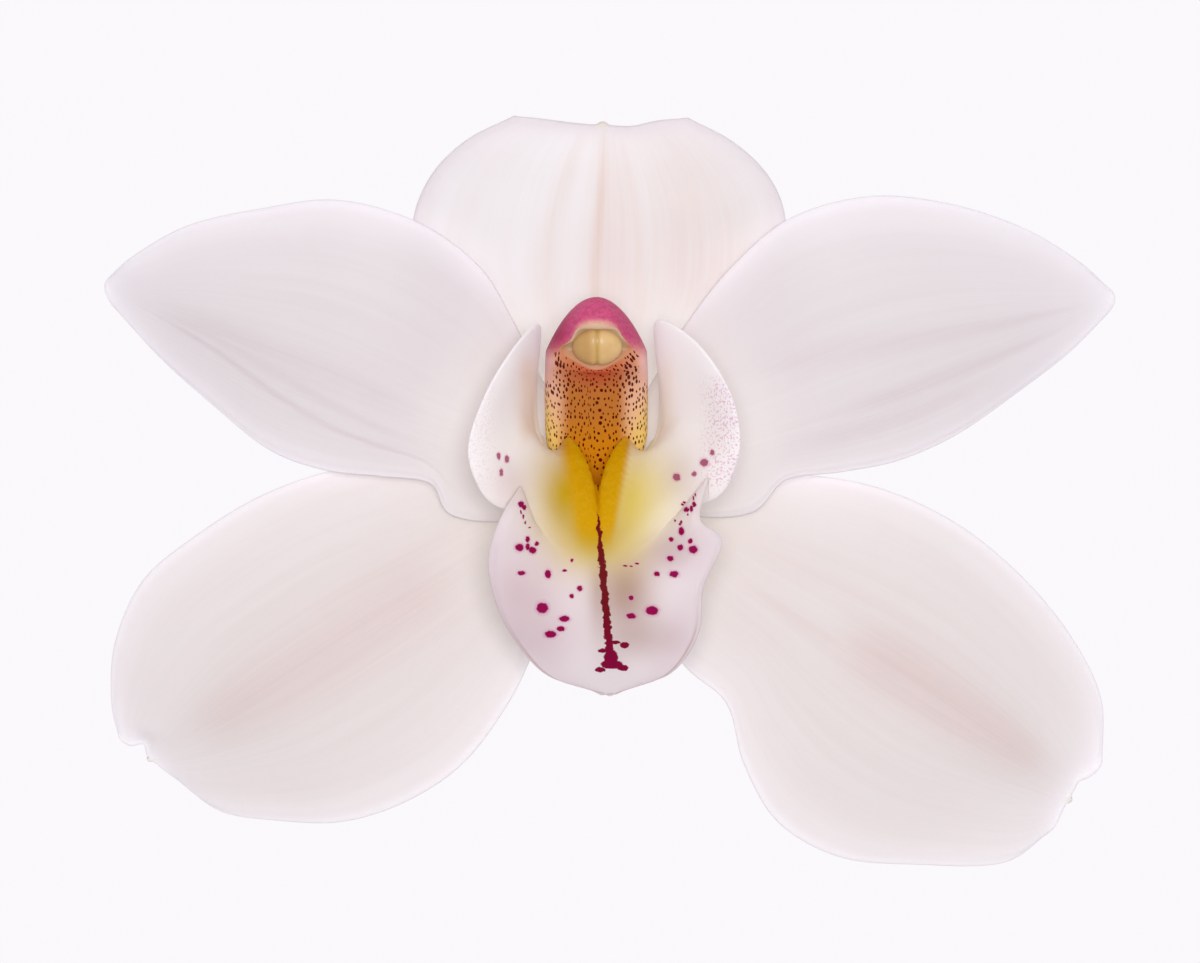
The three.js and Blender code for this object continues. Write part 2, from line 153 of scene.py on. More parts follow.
def with_ends(rings):
    """One row for each point of a loft: those of its rings, then the middle of either end."""
    flat = rings.reshape(-1, *rings.shape[2:])
    return np.concatenate([flat, rings[:1].mean(1), rings[-1:].mean(1)])


def loft(name, rings, material):
    """Skin over closed rings, with a fan at either end."""
    count, sides = rings.shape[:2]
    number = np.arange(count * sides).reshape(count, sides)
    following = np.roll(number, -1, axis=1)
    walls = np.stack([number[:-1], following[:-1], following[1:], number[1:]], -1).reshape(-1, 4)
    faces = walls.tolist()
    for k in range(sides):
        faces.append((count * sides, int(following[0, k]), int(number[0, k])))
        faces.append((count * sides + 1, int(number[-1, k]), int(following[-1, k])))
    return add_mesh(name, with_ends(rings), faces, [material], [0] * len(faces))


# Living epidermis over green flesh: waxy, a little translucent, paler on the ribs. It gives the eye
# a soft yellow-green with a dull sheen, fine lengthwise streaks and a faint brown-pink blush.
skin, tree = new_material("waxy_ovary_epidermis")
rail = add_node(tree, "ShaderNodeUVMap", uv_map="rail")
drawn = add_node(tree, "ShaderNodeMapping", {
    "Vector": rail.outputs[0], "Scale": (STREAKS_ALONG, HALF_GIRTH / STREAK_MM, 1.0)})
streaks = add_node(tree, "ShaderNodeTexNoise", {"Vector": drawn.outputs[0], "Scale": 1.0, "Detail": 3.0})
place = add_node(tree, "ShaderNodeTexCoord")
patches = add_node(tree, "ShaderNodeTexNoise", {
    "Vector": place.outputs["Object"], "Scale": PATCHES_PER_MM / MM})
blush = add_node(tree, "ShaderNodeMapRange", {0: patches.outputs[0], 1: 0.5, 2: 0.75, 4: 0.45})
green = lay_colours(
    tree, "#a3b26c", ("#c9cf99", streaks.outputs[0]), ("#dcdcb4", strength(tree, "ridge")),
    ("#b58a76", blush.outputs[0]), ("#e4e2bd", strength(tree, "cut")),
    ("#a9a266", strength(tree, "vessels")))
bump = add_node(tree, "ShaderNodeBump", {
    "Height": streaks.outputs[0], "Strength": 0.3, "Distance": 0.2 * MM})
wax = add_node(tree, "ShaderNodeBsdfPrincipled", {
    "Base Color": green, "Roughness": 0.42, "IOR": 1.4, "Normal": bump.outputs[0]})
add_node(tree, "ShaderNodeOutputMaterial", {0: wax.outputs[0]})

t = np.linspace(0, 1, STALK_STEPS + 1)
centres, radii = smooth_curve(OVARY_PATH, t), smooth_curve(OVARY_RADIUS, t)
angles = np.linspace(0, 2 * np.pi, STALK_SIDES, endpoint=False)
rib_wave = np.cos(OVARY_RIBS * (angles[None, :] + RIB_TWIST * t[:, None]))
reach = radii[:, None] + RIB_HEIGHT * rib_wave * np.sin(np.pi * t)[:, None]
# After the last full ring come the cut's crisp rim and its face, which has shrunk a little.
cut_shares = np.array([1.0, 0.97, 0.8, 0.55, 0.3])
cut_depths = np.array([0.0, 0.0, -0.3 * CUT_HOLLOW, -0.7 * CUT_HOLLOW, -CUT_HOLLOW])
last_step = centres[-1] - centres[-2]
last_step /= np.linalg.norm(last_step)
centres = np.concatenate([centres, centres[-1] + cut_depths[:, None] * last_step])
reach = np.concatenate([reach, cut_shares[:, None] * reach[-1:]])
headings = np.gradient(centres, axis=0)
headings[-len(cut_shares) - 1:] = last_step
headings /= np.linalg.norm(headings, axis=1, keepdims=True)
acrosses = np.cross(headings, [1.0, 0.0, 0.0])
sideways = (reach * np.cos(angles))[..., None] * np.array([1.0, 0.0, 0.0])
rings = centres[:, None, :] + sideways + (reach * np.sin(angles))[..., None] * acrosses[:, None, :]
stalk = loft("ribbed_ovary_and_pedicel", rings, skin)
along, around = np.meshgrid(np.linspace(0, 1, len(rings)), np.abs(angles / np.pi - 1), indexing="ij")
map_points(stalk, with_ends(np.stack([along, around], -1)))
ridge, cut, vessels = np.zeros(reach.shape), np.zeros(reach.shape), np.zeros(reach.shape)
ridge[:STALK_STEPS + 1] = 0.5 * ramp(rib_wave, 0.2, 1.0) * np.sin(np.pi * t)[:, None]
cut[STALK_STEPS + 2:] = 1.0
vessels[STALK_STEPS + 4] = 0.8 * ramp(np.cos(12 * angles), -0.2, 0.8)
paint(stalk, "ridge", with_ends(ridge))
paint(stalk, "cut", with_ends(cut))
paint(stalk, "vessels", with_ends(vessels))
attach(stalk, "root")
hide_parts("ovary_and_pedicel")

# Sepals: the three outer leaves of the bloom, thick and waxy, each on a short claw at the
# receptacle. The upper one stands behind the petals with a notched tip, and the lower two arch
# down to the surface. Each ends in a small hard point, and its veins run from claw to tip.

# Each leaf hangs on rails from its claw to its tip: its two margins and the middle line.
DORSAL_SEPAL = [
    [[-2.8, 3.2, -0.6], [-9.0, 8.0, 0.3], [-15.5, 13.8, 1.1], [-19.8, 20.2, 1.9],
     [-20.6, 26.6, 3.5], [-18.6, 32.0, 6.8], [-14.6, 36.0, 10.2], [-9.2, 38.7, 12.6]],
    [[0.0, 2.8, -0.6], [-0.1, 8.2, 1.8], [-0.2, 13.6, 4.2], [-0.2, 18.9, 6.7],
     [-0.1, 24.1, 9.3], [0.0, 29.1, 11.9], [0.1, 33.7, 13.9], [0.3, 37.5, 14.3]],
    [[2.8, 3.2, -0.6], [9.0, 8.0, 0.3], [15.5, 13.8, 1.1], [19.6, 20.2, 1.9],
     [20.4, 26.8, 3.5], [18.7, 31.7, 6.8], [14.7, 35.7, 10.2], [9.4, 38.5, 12.6]],
]
LATERAL_SEPAL_LEFT = [
    [[-0.9, -3.2, -0.7], [-4.2, -11.6, 0.0], [-7.6, -20.4, 0.5], [-10.7, -26.4, 0.6], [-15.4, -32.4, 0.1],
     [-21.6, -36.5, -1.1], [-28.6, -38.7, -2.9], [-35.8, -38.6, -5.3], [-42.2, -37.5, -8.1],
     [-47.0, -33.7, -10.3]],
    [[-2.1, -2.0, -0.7], [-8.0, -6.2, 0.2], [-13.8, -10.2, 1.0], [-19.6, -14.0, 1.5], [-25.4, -17.6, 1.6],
     [-31.0, -21.2, 1.1], [-36.4, -24.6, -0.3], [-41.4, -27.6, -2.8], [-45.8, -30.0, -6.3],
     [-49.4, -31.8, -10.3]],
    [[-3.2, -0.8, -0.7], [-11.5, 0.8, 0.0], [-20.2, 1.6, 0.5], [-28.8, 0.0, 0.6], [-37.1, -2.9, 0.1],
     [-44.5, -7.4, -1.1], [-50.3, -12.3, -3.0], [-53.4, -19.0, -5.6], [-53.9, -25.4, -8.4],
     [-52.9, -29.8, -10.4]],
]
LATERAL_SEPAL_RIGHT = [
    [[3.2, -0.8, -0.7], [10.0, -0.2, 0.0], [17.0, -0.4, 0.5], [24.0, -0.8, 0.6], [31.6, -2.4, 0.1],
     [39.4, -6.1, -1.1], [46.2, -11.6, -3.0], [51.7, -18.2, -5.6], [55.2, -25.3, -8.4],
     [55.3, -32.6, -10.4]],
    [[2.1, -2.0, -0.7], [8.2, -6.6, 0.2], [14.0, -11.0, 1.0], [19.8, -15.2, 1.5], [25.6, -19.2, 1.6],
     [31.4, -23.0, 1.1], [37.2, -26.8, -0.3], [42.8, -30.2, -2.8], [47.8, -33.2, -6.3],
     [51.8, -35.8, -10.3]],
    [[0.9, -3.2, -0.7], [3.8, -12.4, 0.0], [9.0, -21.0, 0.5], [14.0, -25.6, 0.6], [16.0, -32.4, 0.1],
     [19.8, -38.8, -1.1], [26.6, -42.6, -2.9], [35.0, -43.4, -5.3], [44.5, -43.2, -8.1],
     [49.9, -39.7, -10.3]],
]
TEPAL_ROWS, TEPAL_COLUMNS = 150, 96
# Thickness in the middle and at the edge, veins side by side and their height, and how far the
# rim rolls back and over what share of the half width.
TEPAL_MIDDLE, TEPAL_EDGE = 1.0, 0.34
VEINS, VEIN_HEIGHT = 34, 0.01
ROLLED_MM, ROLLED_SHARE = 0.3, 0.14
# Folds and veins flatten out where the leaf's half width is under this.
RELIEF_ROOM = 8.0
# At the tip: the widths of its point and its notch, as shares of the half width, and how far its
# corners draw back.
POINT_WIDTH, NOTCH_WIDTH, CORNER_MM = 0.05, 0.2, 0.3
# Marks along and across a leaf: veins 0.3 to 0.4 mm apart, and soft bands four times as broad.
HAIRLINES, BANDS = (2.5, 90.0, 1.0), (2.0, 22.0, 1.0)
# Skin cells are drawn about ten times as coarse as real ones, so that their sheen shows at all.
SKIN_CELLS_PER_MM = 3.5


def sheet(rails, rows, columns):
    """A sheet hung on rails: its points, its normals on the shown side, and u and v of each point."""
    u, v = np.linspace(0, 1, rows + 1), np.linspace(-1, 1, columns + 1)
    across = np.stack([smooth_curve(rail, u) for rail in rails])
    points = np.swapaxes(smooth_curve(across, (v + 1) / 2), 0, 1)
    normals = np.cross(np.gradient(points, axis=1), np.gradient(points, axis=0))
    normals /= np.maximum(np.linalg.norm(normals, axis=2, keepdims=True), 1e-9)
    return points, normals, *np.meshgrid(u, v, indexing="ij")


def blade(name, shown, back, materials, strengths):
    """A closed leaf between its shown and its back side, with a round rim, a map and strengths."""
    rows, columns = shown.shape[0] - 1, shown.shape[1] - 1
    number = np.arange(shown.shape[0] * shown.shape[1]).reshape(shown.shape[:2])
    corners = [number[:-1, :-1], number[:-1, 1:], number[1:, 1:], number[1:, :-1]]
    shown_faces = np.stack(corners, -1).reshape(-1, 4)
    back_faces = shown_faces[:, ::-1] + number.size
    border = np.concatenate([number[0, :-1], number[:-1, -1], number[-1, :0:-1], number[:0:-1, 0]])
    following = np.roll(np.arange(len(border)), -1)
    top, low = shown.reshape(-1, 3), back.reshape(-1, 3)
    edge, thick = (top[border] + low[border]) / 2, top[border] - low[border]
    out = np.cross(np.roll(edge, -1, axis=0) - np.roll(edge, 1, axis=0), thick)
    out /= np.maximum(np.linalg.norm(out, axis=1, keepdims=True), 1e-9)
    rim = 2 * number.size + np.arange(len(border))
    upper = np.stack([border, rim, rim[following], border[following]], -1)
    lower = np.stack([rim, border + number.size, border[following] + number.size, rim[following]], -1)
    faces = np.concatenate([shown_faces, back_faces, upper, lower])
    half = np.linalg.norm(thick, axis=1, keepdims=True) / 2
    points = np.concatenate([top, low, edge + out * half])
    indices = np.repeat([0, 1, 0], [len(shown_faces), len(back_faces), 2 * len(border)])
    obj = add_mesh(name, points, faces.tolist(), materials, indices.tolist())
    along, aside = np.meshgrid(np.linspace(0, 1, rows + 1), np.linspace(0, 1, columns + 1), indexing="ij")
    uv = np.stack([along.ravel(), aside.ravel()], -1)
    map_points(obj, np.concatenate([uv, uv, uv[border]]))
    for key, field in strengths.items():
        flat = np.broadcast_to(field, number.shape).ravel()
        paint(obj, key, np.concatenate([flat, flat, flat[border]]))
    return obj


def tepal(name, node, materials, rails, folds, point=(0.0, 0.0), notch=(0.0, 0.0), ripple=(0.0, 0.0)):
    """A sepal or petal with its folds, ripples, veins and rolled rim. Each fold is its place at the
    claw and at the tip, its width, where it starts and ends, its depth in mm and its tint. The
    point and the notch at the tip are each a place and a length in mm, and the ripple is a phase
    and a height in mm."""
    points, normals, u, v = sheet(rails, TEPAL_ROWS, TEPAL_COLUMNS)
    heading = np.gradient(points, axis=0)
    heading[..., 2] = np.maximum(heading[..., 2], 0)
    heading /= np.linalg.norm(heading, axis=2, keepdims=True)
    reach = point[1] * bell(v - point[0], POINT_WIDTH) * ramp(u, 0.97, 1.0) ** 2
    reach -= notch[1] * bell(v - notch[0], NOTCH_WIDTH) * ramp(u, 0.9, 1.0)
    reach -= CORNER_MM * np.abs(v) ** 8 * ramp(u, 0.9, 1.0)
    points = points + reach[..., None] * heading
    relief, tint = np.zeros(u.shape), np.zeros(u.shape)
    for at_claw, at_tip, width, start, end, depth, stain in folds:
        line = at_claw + (at_tip - at_claw) * u + 0.015 * np.sin(9 * u + 20 * at_claw)
        fold = bell(v - line, width) * ramp(u, start, start + 0.15) * (1 - ramp(u, end - 0.15, end))
        relief -= depth * fold
        tint = np.maximum(tint, stain * fold)
    phase, height = ripple
    swell = height * np.sin(3.1 * np.pi * u + phase + 1.2 * v) * np.sin(1.5 * np.pi * v + phase)
    relief += swell * u * (1 - u**6) - ROLLED_MM * ramp(np.abs(v), 1 - ROLLED_SHARE, 1) ** 2
    half_width = np.linalg.norm(points[:, -1] - points[:, 0], axis=1)[:, None] / 2
    room = np.minimum(half_width / RELIEF_ROOM, 1)
    relief *= room
    veins = VEIN_HEIGHT * np.cos(np.pi * VEINS * v) * (1 - v**2) * room
    half = (TEPAL_EDGE + (TEPAL_MIDDLE - TEPAL_EDGE) * (1 - v**2) * (1 - 0.5 * u)) / 2
    middle = points + normals * relief[..., None]
    middle[..., 2] = np.maximum(middle[..., 2], half - FLOWER_CENTRE[2])
    side_mm = (1 - np.abs(v)) * half_width
    end_mm = (1 - u) * np.linalg.norm(points[-1, TEPAL_COLUMNS // 2] - points[0, TEPAL_COLUMNS // 2])
    edge_mm = np.minimum(side_mm, end_mm)
    strengths = {
        # Painted light: the edge strength lays a rim colour that, on most leaves, is lighter than the body,
        # for light coming through the thin rim.
        "edge": np.minimum(0.5 * np.exp(-edge_mm / 0.9) + 0.45 * np.exp(-side_mm / 4.5)
                           + 0.6 * np.exp(-end_mm / 5.0), 1) * ramp(u, 0.05, 0.3),
        "tint": tint,
        # The claw strength lays the claws' pale colour, which on the petals' and upper sepal's faces is also
        # painted lighter to lift the shade in the middle.
        "claw": 1 - ramp(np.hypot(points[..., 0], points[..., 1]), 7, 25),
        "hard_point": 0.8 * bell(v - point[0], POINT_WIDTH) * ramp(u, 0.985, 1.0) * (point[1] > 0),
    }
    shown = middle + normals * (half + veins)[..., None]
    obj = blade(name, shown, middle - normals * (half - veins)[..., None], materials, strengths)
    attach(obj, "root")
    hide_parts(node)


def tepal_flesh(name, body, edge, vein, fold, claw):
    """Living petal flesh: air between its cells scatters light white, and lets some of it through.
    It gives the eye a matt, faintly pink white, with hairline veins from claw to tip and a warm tint
    in its folds. Its rim colour is painted light: on most leaves it is lighter towards the edge,
    standing in for light that comes through the thin rim. On the petals' and upper sepal's faces the
    claw colour, besides the claws' own paleness, is painted lighter than the body to lift the shade
    in the bloom's middle."""
    material, tree = new_material(name)
    rail = add_node(tree, "ShaderNodeUVMap", uv_map="rail")
    fine = add_node(tree, "ShaderNodeMapping", {"Vector": rail.outputs[0], "Scale": HAIRLINES})
    hairlines = add_node(tree, "ShaderNodeTexNoise", {
        "Vector": fine.outputs[0], "Scale": 1.0, "Detail": 1.0})
    broad = add_node(tree, "ShaderNodeMapping", {"Vector": rail.outputs[0], "Scale": BANDS})
    bands = add_node(tree, "ShaderNodeTexNoise", {"Vector": broad.outputs[0], "Scale": 1.0, "Detail": 1.0})
    vein_line = add_node(tree, "ShaderNodeMapRange", {0: hairlines.outputs[0], 1: 0.4, 2: 0.7, 4: 0.12})
    vein_band = add_node(tree, "ShaderNodeMapRange", {0: bands.outputs[0], 1: 0.35, 2: 0.7, 4: 0.22})
    streaky = add_node(tree, "ShaderNodeMapRange", {0: hairlines.outputs[0], 1: 0.35, 2: 0.65, 3: 0.72})
    streaked = add_node(tree, "ShaderNodeMath", {0: strength(tree, "tint"), 1: streaky.outputs[0]},
                        operation="MULTIPLY")
    flesh = lay_colours(
        tree, body, (vein, vein_band.outputs[0]), (vein, vein_line.outputs[0]), (fold, streaked.outputs[0]),
        (claw, strength(tree, "claw")), (edge, strength(tree, "edge")),
        ("#ece6d8", strength(tree, "hard_point")))
    place = add_node(tree, "ShaderNodeTexCoord")
    cells = add_node(tree, "ShaderNodeTexNoise", {
        "Vector": place.outputs["Object"], "Scale": SKIN_CELLS_PER_MM / MM, "Detail": 0.0})
    rough = add_node(tree, "ShaderNodeMapRange", {0: bands.outputs[0], 3: 0.48, 4: 0.6})
    bump = add_node(tree, "ShaderNodeBump", {
        "Height": cells.outputs[0], "Strength": 0.12, "Distance": 0.1 * MM})
    surface = add_node(tree, "ShaderNodeBsdfPrincipled", {
        "Base Color": flesh, "Roughness": rough.outputs[0], "IOR": 1.38, "Specular IOR Level": 0.3,
        "Normal": bump.outputs[0]})
    through = add_node(tree, "ShaderNodeBsdfTranslucent", {"Color": flesh})
    mixed = add_node(tree, "ShaderNodeMixShader", {0: 0.5, 1: surface.outputs[0], 2: through.outputs[0]})
    add_node(tree, "ShaderNodeOutputMaterial", {0: mixed.outputs[0]})
    return material


sepal_face = tepal_flesh("matt_sepal_flesh", "#e8e3e3", "#f9f6f9", "#dfd6d4", "#dac4c0", "#e9e3e0")
sepal_back = tepal_flesh("matt_sepal_back", "#f1eae8", "#faf6f7", "#e6d8d1", "#dcc2ba", "#f3efe4")
# The upper sepal's face is the sepal flesh as a lighter copy: painted light for the light that falls more on
# it than on the lower sepals.
lit_upper_sepal_face = tepal_flesh("matt_upper_sepal_flesh_painted_lighter", "#f8f8fa", "#ece6e9", "#f2edeb", "#ecd8ca", "#fffefe")
tepal("dorsal_sepal_blade", "dorsal_sepal", [lit_upper_sepal_face, sepal_back], DORSAL_SEPAL,
      [(0.0, 0.0, 0.04, 0.15, 1.2, 0.1, 0.7), (-0.32, -0.22, 0.06, 0.2, 1.05, 0.04, 0.25),
       (0.26, 0.17, 0.06, 0.2, 1.05, 0.04, 0.3), (0.1, 0.08, 0.14, 0.2, 1.1, 0.0, 0.3),
       (0.6, 0.5, 0.35, 0.3, 1.3, 0.0, 0.3)], (0.0, 0.4), (0.35, 0.3), (0.4, 0.15))
tepal("lateral_sepal_left_blade", "lateral_sepal_left", [sepal_face, sepal_back],
      LATERAL_SEPAL_LEFT,
      [(0.05, 0.0, 0.25, 0.2, 0.9, 0.12, 0.35), (0.1, 0.05, 0.04, 0.15, 0.95, 0.06, 0.25),
       (-0.12, -0.1, 0.05, 0.3, 0.8, 0.06, 0.25), (0.35, 0.2, 0.05, 0.1, 0.6, 0.04, 0.2)],
      (0.0, 0.35), (0.42, 1.0), (2.1, 0.3))
tepal("lateral_sepal_right_blade", "lateral_sepal_right", [sepal_face, sepal_back],
      LATERAL_SEPAL_RIGHT,
      [(-0.05, -0.1, 0.2, 0.4, 0.98, 0.12, 0.45), (0.0, 0.0, 0.04, 0.2, 1.0, 0.08, 0.25),
       (-0.2, -0.15, 0.05, 0.5, 0.9, 0.08, 0.3), (-0.4, -0.3, 0.05, 0.1, 0.7, 0.04, 0.15)],
      (0.13, 0.4), (-0.35, 0.45), (4.0, 0.35))

# Petals: the two inner leaves, in front of the sepals, thinner and whiter, with blunt tips. They
# lean forward beside the column and arch back towards their tips, with one long soft fold each.
PETAL_LEFT = [
    [[-2.6, -2.4, 1.6], [-9.8, -5.4, 2.6], [-16.2, -4.9, 3.4], [-18.6, -1.4, 4.3], [-24.2, -0.6, 4.4],
     [-30.4, 0.1, 3.6], [-36.6, 2.4, 1.6], [-43.0, 7.5, -1.8], [-48.4, 12.3, -5.8], [-54.0, 18.5, -10.2]],
    [[-2.8, 0.6, 1.6], [-8.2, 2.0, 3.6], [-13.8, 3.8, 4.8], [-19.4, 5.8, 5.4], [-25.2, 8.2, 5.4],
     [-31.2, 10.8, 4.6], [-37.2, 13.2, 2.8], [-43.2, 15.6, -0.4], [-48.8, 17.6, -4.8], [-54.4, 20.0, -10.3]],
    [[-2.2, 3.2, 1.6], [-6.2, 9.4, 4.2], [-9.6, 16.2, 6.4], [-13.4, 22.2, 7.7], [-20.2, 27.1, 6.7],
     [-29.0, 29.5, 5.3], [-37.8, 28.5, 2.7], [-45.5, 26.7, -0.8], [-51.3, 23.5, -5.2], [-54.4, 20.9, -10.2]],
]
PETAL_RIGHT = [
    [[2.2, 3.2, 1.6], [5.8, 9.6, 4.2], [9.5, 15.8, 6.4], [14.6, 22.2, 7.5], [21.0, 27.5, 6.6],
     [29.6, 29.9, 5.2], [38.2, 29.2, 2.6], [46.2, 26.7, -1.0], [52.3, 23.2, -5.4], [56.2, 19.9, -10.2]],
    [[2.8, 0.6, 1.6], [8.4, 1.8, 3.6], [14.2, 3.4, 4.8], [20.2, 5.2, 5.4], [26.2, 7.2, 5.4],
     [32.4, 9.4, 4.6], [38.6, 11.8, 2.8], [44.8, 14.2, -0.4], [50.8, 16.6, -4.8], [56.6, 19.0, -10.3]],
    [[2.6, -2.4, 1.6], [9.8, -4.9, 2.6], [16.6, -4.6, 3.4], [20.4, -1.0, 4.3], [26.6, -0.1, 4.2],
     [33.0, 1.2, 3.2], [39.4, 4.0, 1.2], [45.6, 8.2, -2.0], [51.6, 12.9, -6.0], [56.4, 17.8, -10.2]],
]
# The petals' claw colour is painted lighter than their body, as painted light against the shade in the
# bloom's middle.
petal_face = tepal_flesh("matt_petal_flesh", "#e6e2e3", "#f9f6f9", "#ddd5d8", "#cdbac0", "#f7f3f4")
petal_back = tepal_flesh("matt_petal_back", "#f0e9ea", "#faf6f9", "#e5d9da", "#d9c5c5", "#f5f1e4")
tepal("petal_left_blade", "petal_left", [petal_face, petal_back], PETAL_LEFT,
      [(-0.95, -0.02, 0.045, 0.2, 0.97, 0.1, 0.3), (-0.55, 0.06, 0.06, 0.3, 0.95, 0.08, 0.2),
       (-0.1, 0.1, 0.12, 0.3, 0.9, 0.08, 0.15)], ripple=(1.0, 0.25))
tepal("petal_right_blade", "petal_right", [petal_face, petal_back], PETAL_RIGHT,
      [(-0.5, -0.1, 0.06, 0.25, 1.0, 0.1, 0.2), (-0.1, 0.25, 0.07, 0.4, 0.95, 0.1, 0.25),
       (0.35, 0.4, 0.12, 0.3, 0.8, 0.08, 0.15)], ripple=(2.6, 0.25))

# Lip: the third petal, grown into a landing place. Two side lobes stand up beside the column, the
# midlobe turns down with a waved edge, and two furry yellow keels lead in past a crimson streak.

# Its rails from claw to tip: a margin, one half way in, the middle line, and the same on the left.
LABELLUM = [
    [[1.8, -3.0, 3.2], [5.6, 2.9, 6.6], [7.1, 4.9, 9.3], [6.6, 10.8, 12.8], [6.2, 16.2, 16.8],
     [10.4, 14.0, 19.6], [14.0, 8.8, 21.6], [15.2, 3.2, 21.8], [14.0, -1.4, 19.4], [12.0, -3.2, 18.3],
     [11.7, -1.0, 21.6], [10.8, -5.4, 21.0], [13.2, -8.0, 20.8], [11.2, -12.8, 19.6], [10.6, -18.2, 17.4],
     [7.4, -22.5, 14.6], [1.9, -24.5, 11.8]],
    [[1.0, -3.4, 3.2], [3.5, -2.9, 5.6], [4.9, 1.2, 9.0], [6.3, 2.8, 10.6], [7.3, 4.6, 12.8],
     [8.8, 5.0, 15.2], [10.2, 2.6, 17.2], [10.2, -0.8, 18.4], [9.0, -3.6, 18.3], [7.6, -5.4, 17.9],
     [6.6, -7.2, 17.9], [6.6, -9.4, 18.8], [7.4, -11.8, 19.6], [6.6, -15.4, 18.8], [5.6, -19.2, 16.6],
     [4.2, -22.4, 14.2], [1.5, -24.4, 11.7]],
    [[0.0, -3.5, 3.2], [0.0, -3.1, 5.4], [0.0, -2.5, 7.6], [0.0, -2.1, 9.8], [0.0, -2.3, 11.8],
     [0.0, -3.0, 13.4], [0.0, -4.2, 15.0], [0.0, -5.6, 16.4], [0.1, -7.2, 17.5], [0.2, -8.8, 18.2],
     [0.2, -10.4, 18.6], [0.3, -12.4, 18.8], [0.4, -14.8, 18.4], [0.6, -17.4, 17.4], [0.7, -20.0, 15.8],
     [0.9, -22.4, 13.8], [1.1, -24.5, 11.6]],
    [[-1.0, -3.4, 3.2], [-3.7, -3.0, 5.6], [-5.2, 1.2, 9.0], [-6.8, 2.8, 10.6], [-7.6, 4.6, 12.8],
     [-8.6, 4.8, 15.2], [-9.4, 2.2, 17.2], [-9.4, -1.2, 18.4], [-8.4, -3.8, 18.3], [-7.2, -5.6, 17.9],
     [-6.2, -7.4, 17.9], [-6.2, -9.8, 18.9], [-6.6, -12.6, 19.6], [-6.0, -16.4, 18.6], [-4.4, -19.8, 16.6],
     [-2.2, -22.6, 14.0], [0.6, -24.4, 11.7]],
    [[-1.8, -3.0, 3.2], [-5.6, 2.9, 6.6], [-7.3, 4.9, 9.3], [-7.0, 11.0, 12.8], [-6.7, 15.8, 16.6],
     [-9.2, 13.6, 19.4], [-12.4, 8.4, 21.4], [-14.3, 2.4, 21.6], [-13.0, -2.2, 19.2], [-10.6, -4.0, 18.2],
     [-8.7, -1.9, 21.6], [-11.0, -6.0, 21.4], [-12.1, -10.4, 20.4], [-11.0, -15.4, 18.8],
     [-8.8, -19.5, 16.6], [-5.1, -22.9, 14.0], [0.3, -24.6, 11.8]],
]
LIP_ROWS, LIP_COLUMNS = 230, 160
LIP_MIDDLE, LIP_EDGE = 0.9, 0.3
# Half waves from claw to tip, which show on the midlobe's edge alone, their height, and how far
# that edge curls back.
WAVES, WAVE_MM, RECURVE_MM = 18, 0.2, 0.35
# The keels: how far along the lip each station is, its place and half width as shares of the
# sheet's half, how much of the way it is drawn out to the crest, and the right crest's place.
KEEL_ALONG = [0.12, 0.17, 0.21, 0.26, 0.31, 0.36, 0.41, 0.45, 0.50]
KEEL_PLACE = [0.25, 0.24, 0.23, 0.21, 0.18, 0.15, 0.12, 0.09, 0.06]
KEEL_WIDTH = [0.08, 0.08, 0.08, 0.09, 0.10, 0.10, 0.09, 0.08, 0.07]
KEEL_REACH = [0.0, 0.8, 1.0, 1.0, 1.0, 1.0, 1.0, 0.8, 0.0]
KEEL_CREST = [
    [3.1, 1.2, 9.4], [3.4, 2.6, 11.2], [3.2, 3.3, 12.4], [2.3, 2.2, 13.6], [1.6, 0.8, 14.7],
    [1.1, -1.1, 15.7], [0.9, -3.1, 16.5], [0.7, -4.8, 17.1], [0.5, -6.8, 17.6],
]
KEEL_X, FUR_MM = -0.35, 0.1
# The gold on the keels: its middle line, and its half width at one height and how that grows.
GOLD_X, GOLD_AT, GOLD_HALF, GOLD_WIDENS = -0.5, -5.4, 2.2, 0.19

